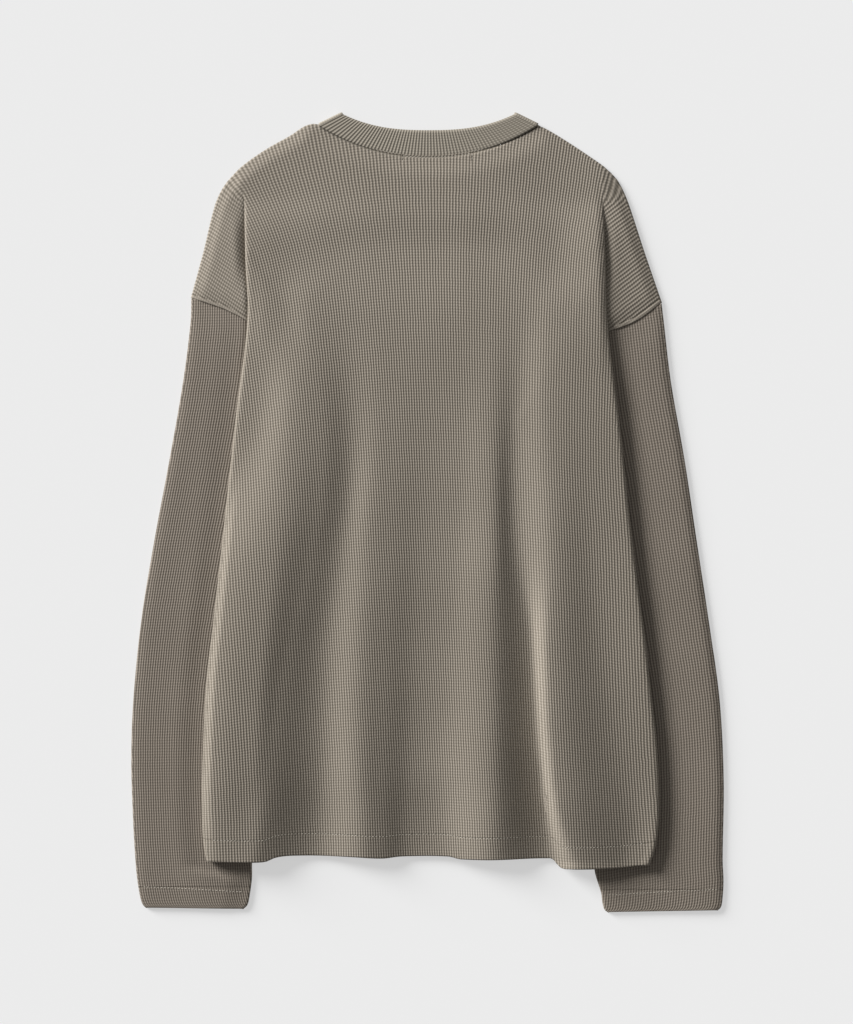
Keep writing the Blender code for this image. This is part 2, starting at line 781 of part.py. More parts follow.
def neck_edge(neck_y, out):
    """A panel's neckline as straight runs between its columns, so that the band meets it."""
    stops = [c.neck for c in COLUMNS[1][: NECK_COLUMN + 1]]
    heights = [neck_y(stop) for stop in stops]
    i = next(n for n in range(NECK_COLUMN) if out <= stops[n + 1] + MERGE)
    return mix(heights[i], heights[i + 1], (out - stops[i]) / (stops[i + 1] - stops[i]))


def band_line(out_share, front):
    """Seam edge and free edge of the neckband at a share of the half width, -1 to 1."""
    side = -1 if out_share < 0 else 1
    share = abs(out_share)
    seam_out, free_out = share * NECK_HALF, share * BAND_HALF
    if front:
        seam_y = neck_edge(front_neck_y, seam_out)
        free_y = TOP_Y - FRONT_BAND_DROP * (1 - share * share) ** 0.5
    else:
        seam_y = neck_edge(back_neck_y, seam_out)
        free_y = TOP_Y - BAND_DIP * (1 - share ** BAND_CURVE)
    return (
        Vector((side * seam_out + CENTRE_X, seam_y, 0)),
        Vector((side * free_out + CENTRE_X, free_y, 0)),
    )


def make_neckband():
    """A closed band folded flat at its two peaks: the back half on top, its ribs raised in
    its outer points, and the front half under it."""
    low = RIB / 2
    high = low + RIB + RIB_FOLD_GAP
    middle, radius = (low + high) / 2, (high - low) / 2
    back_stations = 2 * round(2 * NECK_HALF / RIB_PITCH)
    stations = []
    for n in range(back_stations + 1):
        share = -1 + 2 * n / back_stations
        stations.append((band_line(share, False), Vector((0, 0, high)), True))
    turn_way = Vector((NECK_HALF - BAND_HALF, NECK_POINT_Y - TOP_Y, 0)).normalized()
    for side in (1, -1):
        away = Vector((-turn_way.y * side, turn_way.x, 0))
        bend = []
        for n in range(1, BAND_TURN_STEPS):
            a = pi * n / BAND_TURN_STEPS
            lift = Vector((0, 0, middle + radius * cos(a) * side)) + away * radius * sin(a)
            bend.append((band_line(side, False), lift, False))
        front = []
        if side > 0:
            for n in range(FRONT_BAND_STATIONS + 1):
                angle = pi / 2 - pi * n / FRONT_BAND_STATIONS
                front.append((band_line(sin(angle), True), Vector((0, 0, low)), False))
        stations += bend + front
    points, ribbed = {}, set()
    count = len(stations)
    for n, ((seam, free), lift, ribs) in enumerate(stations):
        for row, width in enumerate(BAND_ROWS):
            points[n, row] = free.lerp(seam, width / (BAND_ROWS[-1] + SEAM_GAP * SLANT)) + lift
        if ribs:
            ribbed.add(n)
    faces = []
    for n in range(count):
        m = (n + 1) % count
        for row in range(len(BAND_ROWS) - 1):
            faces.append([(n, row), (n, row + 1), (m, row + 1), (m, row)])

    def share_of_wall(key):
        return BAND_EDGE_SHARE if key[1] == 0 else 1.0

    def outside(key, place):
        rib = RIB_RELIEF * (1 if key[0] % 2 else -1) if key[0] in ribbed else 0.0
        return (RIB / 2 + rib) * share_of_wall(key)

    def inside(key, place):
        return -RIB / 2 * share_of_wall(key)

    return wall("neckband", points, faces, outside, inside, RIB_KNIT)


def clear_scene():
    for thing in list(bpy.data.objects):
        bpy.data.objects.remove(thing, do_unlink=True)


clear_scene()
make_back()
make_front()
make_sleeve(-1, "sleeve_left")
make_sleeve(1, "sleeve_right")
make_neckband()
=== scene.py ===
from bisect import bisect_left
from math import atan2, cos, degrees, dist, hypot, pi, radians, sin

import bmesh
import bpy
from mathutils import Matrix, Vector


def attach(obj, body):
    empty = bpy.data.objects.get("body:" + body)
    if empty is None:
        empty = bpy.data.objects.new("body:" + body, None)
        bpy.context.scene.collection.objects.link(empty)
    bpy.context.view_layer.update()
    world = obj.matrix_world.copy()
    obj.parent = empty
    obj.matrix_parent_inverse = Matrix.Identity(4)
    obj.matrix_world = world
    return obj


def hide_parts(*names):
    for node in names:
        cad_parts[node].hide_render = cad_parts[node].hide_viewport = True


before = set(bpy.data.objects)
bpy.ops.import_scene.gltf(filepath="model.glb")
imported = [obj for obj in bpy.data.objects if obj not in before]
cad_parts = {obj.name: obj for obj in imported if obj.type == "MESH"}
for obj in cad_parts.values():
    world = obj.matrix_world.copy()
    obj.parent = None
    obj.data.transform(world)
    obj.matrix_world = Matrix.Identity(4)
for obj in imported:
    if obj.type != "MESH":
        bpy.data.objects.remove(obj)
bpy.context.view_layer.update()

# Sizes are in millimetres. Side -1 is the left, 1 the right, and "out" is the way from the
# centre line to either side. Lines are lists of (level, out).
body = {
    "centre": 0.96,
    "cloth": 1.5,
    "frontDrop": 1.9,  # from the back's cloth to the front's under it
    "flapHeight": 2.65,  # the back where it lies on the front
    "layerGap": 0.4,
    "crestRadius": 3.9,  # the side fold, and how far it reaches for that
    "crestReach": 0.7,
    "valleyRadius": 1.3,  # the fold under it
    "foldSize": (0.69, 0.88),  # shares of those radii, above and below
    "foldSizeAt": (200.0, 110.0),  # "At" gives a level and how far down from it a change takes
    "pleatRun": 60.0,  # the side fold turns over within this
    "spreadAt": (300.0, 270.0),  # the columns spread out evenly from here down
    "restReach": (8.0, 10.0),  # the back rests on it from so far inside its edge, over a width
    "hemWidth": 21.0,  # from the hem to its stitching
    "hemRoom": 3.0,  # the rows are finer from so far above that
    "armpit": 87.8,
    "shoulderEnd": 298.0,  # from here down the outline follows the arm
    "neckHalf": 104.5,
    "neckPoint": 372.0,
    "backNeckDrop": 29.8,
    "frontNeckDrop": 111.4,
    "neckCurve": 2.2,
    "neckLift": (2.2, 128.0, 175.0),  # over the front of the neckband: height, reach, end
    "curl": 1.5,  # the back curls down at the shoulder
    "sideSeam": {
        -1: [(87.8, 84.5), (30.2, 114), (-46.6, 141), (-123.4, 156), (-219.4, 161), (-335, 168)],
        1: [(87.8, 84.5), (30.2, 108), (-46.6, 120), (-123.4, 128), (-219.4, 133), (-335, 142)],
    },
    "sideFold": {
        -1: [(311.5, 180.5), (299, 177.6), (241.4, 175.7), (183.8, 173.8), (87.8, 185.3),
             (-27.4, 197.8), (-104.2, 206.4), (-161.8, 213), (-238.6, 216.8), (-291, 217.3),
             (-318, 215.8), (-335, 212.6)],
        1: [(308.6, 167), (299, 168), (241.4, 169.9), (183.8, 171.8), (78.2, 184.3),
            (-27.4, 195.8), (-123.4, 208.3), (-171.4, 213.6), (-219.4, 219), (-276.5, 221.6),
            (-308, 220.2), (-325, 216.6), (-338, 211.5)],
    },
    "shoulder": {
        -1: [(372, 104.5), (373.2, 110.5), (370.6, 119.5), (362, 132.5), (350.8, 152.6),
             (339.6, 169.8), (328.4, 183.8), (316.4, 194.6), (303.4, 202.2), (289.4, 207),
             (251, 216.2), (205.9, 228.5)],
        1: [(372, 104.5), (367.7, 114), (356.6, 132.5), (337.4, 161.3), (327.8, 173.8),
            (318.2, 182.4), (304, 189.6), (289.4, 194.9), (251, 207.4), (201, 224.6)],
    },
    "armhole": {
        -1: [(205.9, 228.5), (200.2, 211.2), (194.4, 194.9), (182.9, 173.8), (140, 127),
             (87.8, 84.5)],
        1: [(201, 224.6), (190.2, 209.6), (183.8, 200), (178, 186.5), (172, 170), (136, 125),
            (87.8, 84.5)],
    },
    # the hem from left to right, as (place, level)
    "hem": [(-216, -335), (-158.4, -335.4), (-146, -331.2), (-130.6, -329.8), (-73, -330.7),
            (-44.2, -332.2), (-26.9, -330.7), (19.2, -330.7), (30.7, -333.1), (111.4, -332.6),
            (119, -333.4), (127.7, -341.4), (136, -342), (162.2, -341.8), (185.3, -340.8),
            (217, -337.5)],
    "foldHem": {-1: -334.0, 1: -337.0},
}

# Crests, troughs and slopes down the back, left to right, as (place, height) at these levels
foldLevels = [340, 241, 184, 127, 70, 10, -50, -115, -180, -245, -290, -335]
backFolds = {
    "leftEdge": [(-160, 0), (-160, 0.1), (-159, 1.4), (-157, 0.7), (-165, 1.8), (-184, 2.8),
                 (-198, 7.3), (-206, 8.8), (-210, 9.3), (-211, 8.3), (-209, 5.2), (-204, 1.3)],
    "leftSide": [(-140, 0), (-140, -0.6), (-135, 0.1), (-132, 3.5), (-136, 6.9), (-142, 9),
                 (-149, 10.8), (-157, 11.7), (-164, 11.1), (-167, 8.9), (-171, 5.7), (-176, 2.6)],
    "leftSlope": [(-121, 0), (-121, -1.2), (-115, 0.3), (-108, 3.1), (-101, 4.9), (-103, 4.9),
                  (-114, 4.6), (-129, 6), (-143, 7), (-152, 6.6), (-157, 5.2), (-164, 2.3)],
    "leftTrough": [(-87, 0), (-87, -2.4), (-82, -1.1), (-78, 0.1), (-75, 0.9), (-78, 0.5),
                   (-87, 0.5), (-98, 0.2), (-103, -0.3), (-105, -2.9), (-107, -6.5),
                   (-110, -8.3)],
    "leftOfMiddle": [(-51, 0), (-51, -2.5), (-50, -1.6), (-50, 0.6), (-51, 2.4), (-56, 3.4),
                     (-60, 3.9), (-65, 5), (-68, 5.9), (-68, 4.9), (-66, 2.5), (-66, 0.5)],
    "middleSlope": [(-23, 0), (-23, -2.6), (-27, -1.9), (-30, 0.3), (-34, 2), (-37, 3),
                    (-39, 3.1), (-42, 3.4), (-43, 3.8), (-45, 2.5), (-45, 0.4), (-44, -1.9)],
    "middleTrough": [(13, 0), (13, -2.5), (9, -2), (6, -0.7), (1, 0.5), (-3, 0.7), (-8, 0.1),
                     (-12, -0.7), (-15, -0.9), (-18, -2.7), (-20, -5.6), (-21, -7.8)],
    "rightRise": [(33, 0), (33, -2.3), (33, -2.2), (33, -1.1), (31, 0.5), (28, 1.2), (24, 0.5),
                  (20, -1), (14, -1.1), (10, -2.2), (13, -5.6), (15, -7.4)],
    "rightOfMiddle": [(60, 0), (60, -2.4), (61, -2.4), (62, -0.7), (62, 1.9), (62, 4.2),
                      (62, 5.5), (61, 3.5), (61, 4), (61, 6.5), (62, 6.5), (62, 3.5)],
    "rightTrough": [(95, 0), (95, -2), (91, -2.6), (86, -2), (83, -1.4), (82, -0.6), (86, -0.6),
                    (98, -4.3), (104, -7.2), (108, -7.8), (113, -8), (116, -8.7)],
    "rightSide": [(126, 0), (126, -1.7), (117, -0.7), (112, 1.3), (113, 2.8), (116, 4.8),
                  (117, 6.2), (112, 9.1), (111, 12), (116, 12.3), (124, 11.4), (142, 5.2)],
    "farRight": [(163, 0), (163, 1.8), (166, 2.1), (163, 1), (157, 1.1), (155, 1.7), (158, 1.5),
                 (165, 1.4), (175, 2.3), (185, 2.2), (195, 0.1), (206, -3.8)],
}
foldShape = {
    "rise": 10.2,  # the body rises so far from the neck down, over a run
    "riseRun": 185.0,
    "sink": 1.0,  # and comes down again so far
    "sinkAt": (200.0, 220.0),
    "edgeRun": (130.0, 60.0),  # and meets the side folds over this width, above and below
    "edgeRunAt": (260.0, 60.0),
    "settled": 1.5,  # how softly it comes to lie on what is turned under it
    "roll": 2.2,  # how far the shoulder's cloth rises from its outline, and over what
    "rollRun": 9.0,
    "neckRoll": 2.5,  # so many times slower from the neck
    "rollAt": (290.0, 40.0),  # where that ends on the body
    "flapCrown": {-1: 4.6, 1: 2.3},  # the dropped shoulder rises to the side fold
    "flapRun": 50.0,
    "flapBow": 1.4,
    "flapGrow": 50.0,  # it grows to that within this below the fold
    "flapFrom": (5.0, 8.0),  # from so far inside the fold's edge, over a width
    "troughAt": (245.0, 40.0),  # beside the fold's upper part it has a narrow trough
    "troughWidth": 16.0,
    "troughLeft": 0.6,  # which leaves this share of the roll
    "seamShare": 0.6,  # and is so much lower at the armhole
    "seamRun": 16.0,
}


def clampTo(t):
    return max(0.0, min(1.0, t))


def ease(t):
    t = clampTo(t)
    return t * t * (3 - 2 * t)


def mix(a, b, t):
    return a + (b - a) * t


def mixEach(a, b, t):
    return [mix(p, q, t) for p, q in zip(a, b)]


def below(y, start, run):
    # 0 down to a level, and 1 from a run below it
    return ease((start - y) / run)


def steps(start, end, count):
    return [mix(start, end, n / count) for n in range(count + 1)]


def curve(points):
    return tuple(zip(*sorted(points)))


def follow(line, at):
    # a smooth curve through the line's values
    knots, values = line
    if at <= knots[0]:
        return values[0]
    if at >= knots[-1]:
        return values[-1]
    i = max(bisect_left(knots, at) - 1, 0)
    last = len(knots) - 1

    def slope(n):
        a, b = max(n - 1, 0), min(n + 1, last)
        return (values[b] - values[a]) / (knots[b] - knots[a])

    width = knots[i + 1] - knots[i]
    t = (at - knots[i]) / width
    rest = 1 - t
    return (values[i] * rest * rest * (1 + 2 * t) + values[i + 1] * t * t * (3 - 2 * t)
            + width * t * rest * (slope(i) * rest - slope(i + 1) * t))


def marksAlong(points):
    # how far along a line each of its points is
    marks = [0.0]
    for a, b in zip(points, points[1:]):
        marks.append(marks[-1] + dist(a, b))
    return marks


def along(line, share):
    # the point (out, level) at a share of the line's length
    marks = marksAlong(line)
    levels, outs = zip(*line)
    return follow((marks, outs), share * marks[-1]), follow((marks, levels), share * marks[-1])


def movedIn(line, width):
    # an outline moved inwards, as a cloth's middle and its turned edge lie inside it
    moved = []
    for i, (y, out) in enumerate(line):
        a, b = line[max(i - 1, 0)], line[min(i + 1, len(line) - 1)]
        run, fall = b[1] - a[1], b[0] - a[0]
        length = hypot(run, fall)
        moved.append((y - width * run / length, out + width * fall / length))
    return moved


def fromLine(line, out, y):
    # how far a point is from a line
    best = 1e9
    for a, b in zip(line, line[1:]):
        run, fall = b[1] - a[1], b[0] - a[0]
        t = clampTo(((out - a[1]) * run + (y - a[0]) * fall) / (run * run + fall * fall))
        best = min(best, hypot(out - a[1] - run * t, y - a[0] - fall * t))
    return best


sides = (-1, 1)
foldCurve = {side: curve(body["sideFold"][side]) for side in sides}
seamCurve = {side: curve(body["sideSeam"][side]) for side in sides}
hemCurve = curve(body["hem"])
creaseCurves = [[curve(zip(foldLevels, values)) for values in zip(*points)]
                for points in backFolds.values()]
shoulderLine = {side: movedIn(body["shoulder"][side], body["cloth"] / 2 + body["curl"])
                for side in sides}
shoulderCurve = {side: curve((out, y) for y, out in shoulderLine[side]
                             if y > body["shoulderEnd"]) for side in sides}
armholeLine = {side: [shoulderLine[side][-1]] + body["armhole"][side][1:] for side in sides}
stack = 2 * (body["crestRadius"] + body["valleyRadius"])


def pleatTop(side):
    return body["sideFold"][side][0][0]


def turnAt(side, y):
    # how far the side fold has turned over, up to half a turn
    return max(1e-3, pi * ease((pleatTop(side) - y) / body["pleatRun"]))


def bendRadius(fullRadius, side, y):
    # a fold turned less far is wider
    size = 2 * fullRadius * mix(*body["foldSize"], below(y, *body["foldSizeAt"]))
    angle = turnAt(side, y)
    return size * angle / pi / (1 - cos(angle))


def crestOut(side, y):
    # where the flat cloth ends and the side fold's bend begins
    angle = turnAt(side, y)
    reach = bendRadius(body["crestRadius"], side, y) * sin(min(angle, pi / 2))
    reach *= body["crestReach"]
    return follow(foldCurve[side], y) - body["cloth"] / 2 - reach


def hiddenOut(side, y):
    # how far in the cloth under the side fold reaches
    if y <= body["armpit"]:
        return follow(seamCurve[side], y)
    start = pleatTop(side) - body["pleatRun"]
    t = clampTo((start - y) / (start - body["armpit"]))
    return mix(crestOut(side, y), body["sideSeam"][side][0][1], t)


def neckLift(x, y):
    height, reach, end = body["neckLift"]
    away = hypot(x, y - body["neckPoint"] + body["backNeckDrop"])
    return height * (1 - ease((away - reach) / (end - reach)))


def edgeHeight(side, y):
    # how far a side fold lifts the back at its edge
    return bendRadius(stack / 2, side, y) * (1 - cos(turnAt(side, y)))


def foldRelief(x, y):
    # a smooth line across the back through its creases
    knots, heights = [-crestOut(-1, y)], [0.0]
    for place, height in creaseCurves:
        knots.append(max(follow(place, y), knots[-1] + 1))
        heights.append(follow(height, y))
    knots.append(max(crestOut(1, y), knots[-1] + 1))
    heights.append(0.0)
    return follow((knots, heights), x)


def lowest(side, out, y):
    # the back stays over the cloth that is turned under it
    flat = body["flapHeight"] + body["layerGap"]
    if y > pleatTop(side) - body["pleatRun"]:
        return flat
    layers = body["flapHeight"] + 2 * bendRadius(body["valleyRadius"], side, y)
    layers += 3 * body["frontDrop"]
    reach, width = body["restReach"]
    return mix(flat, layers, ease((out - hiddenOut(side, y) + reach) / width))


def bodyHeight(x, y):
    side = -1 if x < 0 else 1
    out = abs(x)
    middle = foldShape["rise"] * ease((body["neckPoint"] - y) / foldShape["riseRun"])
    middle -= foldShape["sink"] * below(y, *foldShape["sinkAt"])
    middle += neckLift(x, y) * (1 - middle / foldShape["rise"])
    run = mix(*foldShape["edgeRun"], below(y, *foldShape["edgeRunAt"]))
    inner = ease((crestOut(side, y) - out) / run)
    height = body["flapHeight"] + mix(edgeHeight(side, y), middle, inner) + foldRelief(x, y)
    spare = height - lowest(side, out, y)
    return height - spare + (spare + (spare * spare + foldShape["settled"]) ** 0.5) / 2


def edgeRoll(side, out, y):
    # the shoulder's cloth rises from its outline
    fromNeck = fromLine(neckLine, out, y) / foldShape["neckRoll"]
    away = min(fromLine(shoulderLine[side], out, y), fromNeck)
    return foldShape["roll"] * ease(away / foldShape["rollRun"])


def bodyLift(side, out, y):
    return edgeRoll(side, out, y) * (1 - below(y, *foldShape["rollAt"]))


def flapRise(side, out, y):
    away = out - follow(foldCurve[side], y)
    start, width = foldShape["flapFrom"]
    rise = clampTo(1 - away / foldShape["flapRun"]) ** foldShape["flapBow"]
    return foldShape["flapCrown"][side] * rise * ease((away + start) / width)


def flapLift(side, out, y):
    # the dropped shoulder, lower in its trough and at the armhole
    grown = below(y, pleatTop(side), foldShape["flapGrow"])
    away = out - follow(foldCurve[side], y)
    beside = ease((away + foldShape["flapFrom"][0]) / foldShape["troughWidth"])
    beside = mix(1.0, beside, grown * (1 - below(y, *foldShape["troughAt"])))
    seam = ease(fromLine(armholeLine[side], out, y) / foldShape["seamRun"])
    lift = edgeRoll(side, out, y) * mix(foldShape["troughLeft"], 1, beside)
    lift += flapRise(side, out, y) * beside * grown
    return lift * mix(foldShape["seamShare"], 1.0, seam)


def backNeck(out):
    return body["neckPoint"] - body["backNeckDrop"] * (1 - (out / body["neckHalf"])
                                                       ** body["neckCurve"])


neckLine = [(backNeck(out), out) for out in steps(0, body["neckHalf"], 12)]


def frontNeck(out):
    return body["neckPoint"] - body["frontNeckDrop"] * (1 - (out / body["neckHalf"]) ** 2) ** 0.5


def topEdge(side, out, neckAt):
    return neckAt(out) if out <= body["neckHalf"] else follow(shoulderCurve[side], out)


def flapEdge(side):
    # the shoulder from the side fold's upper end to the armhole
    top = pleatTop(side)
    angle = turnAt(side, top)
    out = crestOut(side, top) + sin(angle) * (
        bendRadius(body["crestRadius"], side, top) * body["crestReach"]
        + bendRadius(body["valleyRadius"], side, top))
    return [(topEdge(side, out, backNeck), out)] + [s for s in shoulderLine[side]
                                                    if s[1] > out + body["cloth"]]


# How finely the two panels are divided, for each side from the centre out and from the top down
backPanel = {
    "toNeck": 30, "toFold": 24, "crest": 8, "turned": 12, "valley": 5, "flap": 24,
    "curl": 3, "upper": 4, "toArmpit": 58, "toHem": 92, "hemRows": 16,
    "flat": (0.64, 0.72), "area": 0.366,
}
frontPanel = {
    "toNeck": 22, "toFold": 12, "crest": 6, "turned": 7, "valley": 4, "flap": 9,
    "curl": 0, "upper": 2, "toArmpit": 28, "toHem": 40, "hemRows": 8,
    "squeezed": 22,  # rows that the neckline squeezes
    "flat": (0.64, 0.72), "area": 0.346,
}

# The knit on the back: wales across, courses down, in millimetres a cell
backKnit = {
    "wale": curve([(372, 3.34), (319, 3.08), (242, 2.72), (146, 2.49), (50, 2.39),
                   (-46, 2.35), (-142, 2.32), (-238, 2.31), (-335, 2.33)]),
    # wider wales at the sides, and on the left of the shoulders
    "sides": curve([(319, 0.0), (242, -0.03), (146, 0.08), (50, 0.10), (-46, 0.15),
                    (-335, 0.15)]),
    "skew": curve([(372, 0.00015), (319, 0.00013), (242, 0.00004), (146, 0.0)]),
    "lean": 0.044,
    "course": 2.72,
    # the courses arch, high in the middle
    "arch": curve([(372, 0.00034), (252, 0.00033), (146, 0.00028), (50, 0.00024),
                   (-46, 0.00020), (-238, 0.00017), (-305, 0.00004), (-335, 0.00003)]),
    "flapWale": {-1: (radians(36), 3.07), 1: (radians(38), 3.26)},
    "flapCourse": (radians(67), 2.35),
    "pleat": {-1: (176.0, 297.0), 1: (168.0, 297.0)},  # the wales fan round this point
    "fan": (-10.0, 120.0),  # from this angle over it, in degrees
    "fanDepth": 20.0,  # and so far under it on the body
}


def bodyKnit(x, y):
    narrow = follow(backKnit["sides"], y) * x ** 3 / (3 * 182 ** 2)
    u = (x - narrow + backKnit["lean"] * y) / follow(backKnit["wale"], y)
    u += follow(backKnit["skew"], y) * x * x
    return u, -y / backKnit["course"] - follow(backKnit["arch"], y) * x * x


def flapKnit(side, x, y):
    slant, wale = backKnit["flapWale"][side]
    rise, course = backKnit["flapCourse"]
    u = (x * sin(slant) - side * y * cos(slant)) / wale
    v = (-side * x * sin(rise) - y * cos(rise)) / course
    return u, v


def knitAt(side, out, y, onFlap):
    # the knit's cell at a point: the body's grain turns into the flap's round the pleat
    pleatOut, pleatY = backKnit["pleat"][side]
    angle = degrees(atan2(y - pleatY, out - pleatOut))
    start, run = backKnit["fan"]
    share = 1 - ease((angle - start) / run)
    if angle < -90:
        share = 1.0 if onFlap else 0.0
    elif not onFlap and y < pleatY - backKnit["fanDepth"]:
        share = 0.0
    here, there = bodyKnit(side * out, y), flapKnit(side, side * out, y)
    bodyStart = bodyKnit(side * pleatOut, pleatY)
    flapStart = flapKnit(side, side * pleatOut, pleatY)
    return [mix(here[k], there[k] - flapStart[k] + bodyStart[k], share) for k in (0, 1)]


def rowLevels(side, plan):
    # levels down the side fold, from the shoulder's edge to the hem
    point = pleatTop(side)
    edge = topEdge(side, crestOut(side, point), backNeck)
    hem = body["foldHem"][side]
    start = hem + body["hemWidth"] + body["hemRoom"]
    return (steps(edge, point, plan["upper"])[:-1]
            + steps(point, body["armpit"], plan["toArmpit"])[:-1]
            + steps(body["armpit"], start, plan["toHem"])[:-1]
            + steps(start, hem, plan["hemRows"]))


def shownPoints(side, row, levels, plan, neckAt):
    # a row from the centre to the side fold
    edge, level, hem = levels[0], levels[row], levels[-1]
    armpit, armpitRow = body["armpit"], plan["upper"] + plan["toArmpit"]
    shown = plan["toNeck"] + plan["toFold"]
    crest = crestOut(side, min(level, pleatTop(side)))
    topCrest = crestOut(side, pleatTop(side))
    points = []
    for column in range(shown + 1):
        share = column / shown
        pastNeck = max(0, column - plan["toNeck"]) / plan["toFold"]
        beforeNeck = body["neckHalf"] * min(1.0, column / plan["toNeck"])
        topOut = mix(beforeNeck, topCrest, pastNeck)

        def outAt(y):
            if column == shown:
                return crest
            here = crestOut(side, min(y, pleatTop(side)))
            even = below(y, *body["spreadAt"])
            return mix(mix(beforeNeck, here, pastNeck), share * here, even)

        if row > armpitRow:
            low = follow(hemCurve, side * share * crest)
            y = mix(armpit, low, (armpit - level) / (armpit - hem))
            out = outAt(y)
        else:
            top = topEdge(side, topOut, backNeck)
            down = mix(row / armpitRow, (edge - level) / (edge - armpit), ease(share))
            y = mix(top, armpit, down)
            out = outAt(y)
            lowRow = plan.get("squeezed", -1)
            if column <= plan["toNeck"] and row <= lowRow:
                low = mix(top, armpit, lowRow / armpitRow)
                y = mix(neckAt(topOut), low, row / lowRow)
                out = mix(topOut, outAt(low), row / lowRow)
        height = bodyHeight(side * out, y) + bodyLift(side, out, y)
        points.append((out, y, height, *knitAt(side, out, y, False)))
    return points


def foldedPoints(side, row, start, plan):
    # a row round the side fold, back under it and round the fold below that
    out, y, height, u, v = start
    height = bodyHeight(side * out, y)
    angle = turnAt(side, y)
    bend = bendRadius(body["crestRadius"], side, y)
    valley = bendRadius(body["valleyRadius"], side, y)
    wale = follow(backKnit["wale"], y)
    full = ease(angle / pi * 2)

    def levelAt(at):
        if row >= plan["upper"]:
            return y
        return mix(topEdge(side, at, backNeck), pleatTop(side), row / plan["upper"])

    points = []
    for n in range(1, plan["crest"] + 1):
        a = angle * n / plan["crest"]
        at = out + bend * sin(a) * body["crestReach"]
        flat = knitAt(side, at, levelAt(at), False)
        bent = (u + side * bend * a / wale, v)
        points.append((at, levelAt(at), height - bend * (1 - cos(a)),
                       *mixEach(flat, bent, full)))
    endOut, endY, endHeight, u, v = points[-1]
    width = max(0.0, endOut - hiddenOut(side, y)) if angle == pi else 0.0
    for step in steps(0, width, plan["turned"])[1:]:
        points.append((endOut - step, endY, endHeight, u + side * step / wale, v))
    turned = len(points)
    for n in range(1, plan["valley"] + 1):
        a = angle - angle * n / plan["valley"]
        at = endOut - width + valley * (sin(angle) - sin(a))
        down = levelAt(at)
        points.append((at, down, endHeight - valley * (cos(a) - cos(angle)),
                       *knitAt(side, at, down, True)))
    for n, (at, down, height, u, v) in enumerate(points):
        lift = bodyLift(side, at, down)
        if n >= turned:
            lift = mix(lift, flapLift(side, at, down), (n - turned + 1) / plan["valley"])
        points[n] = (at, down, height + lift, u, v)
    return points


def flapPoints(side, share, start, plan):
    # a row over the dropped shoulder, from under the fold to the armhole
    end = along(armholeLine[side], share)
    path = flapEdge(side)
    ends = along(path, 0.0), along(path, 1.0)
    points = []
    for n in range(1, plan["flap"] + 1):
        t = 1 - (1 - n / plan["flap"]) ** 1.5  # closer together at the armhole
        # the shoulder's bow over its two ends fades downwards
        bow = along(path, t)
        at, down = [mix(start[k], end[k], t) + (bow[k] - mix(ends[0][k], ends[1][k], t))
                    * (1 - share) ** 3 for k in (0, 1)]
        points.append((at, down, body["flapHeight"] + flapLift(side, at, down),
                       *knitAt(side, at, down, True)))
    return points


def panelRow(side, row, levels, plan, neckAt):
    # points of one row as (out, level, height, u, v)
    points = shownPoints(side, row, levels, plan, neckAt)
    points += foldedPoints(side, row, points[-1], plan)
    share = clampTo((levels[0] - levels[row]) / (levels[0] - body["armpit"]))
    return points + flapPoints(side, share, points[-1], plan)


farAway = 300.0  # stands for no seam near


def startGrid(columns, rows):
    # a grid with its map of the knit, and each point's way from the armhole, hem and neck
    mesh = bmesh.new()
    bmesh.ops.create_grid(mesh, x_segments=columns, y_segments=rows, size=1)
    return mesh, mesh.loops.layers.uv.new("knit"), mesh.verts.layers.float_vector.new("seams")


def gridPlace(vert, columns, rows):
    # a grid's column from the left and row from the top
    return round((vert.co.x + 1) / 2 * columns), round((1 - vert.co.y) / 2 * rows)


def mapKnit(mesh, knit, cells, merged):
    for face in mesh.faces:
        for loop in face.loops:
            loop[knit].uv = cells[loop.vert]
    bmesh.ops.remove_doubles(mesh, verts=merged, dist=0.02)


def faceUp(mesh, upper):
    # turns the cloth over if its upper faces look down
    mesh.normal_update()
    if sum(face.normal.z for face in upper) < 0:
        bmesh.ops.reverse_faces(mesh, faces=mesh.faces[:])
        mesh.normal_update()


def addObject(name, data):
    made = bpy.data.objects.new(name, data)
    bpy.context.scene.collection.objects.link(made)
    return made


def addPiece(name, mesh, material):
    bmesh.ops.scale(mesh, vec=(0.001, 0.001, 0.001), verts=mesh.verts[:])
    data = bpy.data.meshes.new(name)
    mesh.to_mesh(data)
    mesh.free()
    data.shade_smooth()
    data.materials.append(material)
    return addObject(name, data)


def addCloth(name, mesh, material):
    piece = addPiece(name, mesh, material)
    wall = piece.modifiers.new("wall", "SOLIDIFY")
    wall.thickness = body["cloth"] / 1000
    wall.offset = 0
    return piece


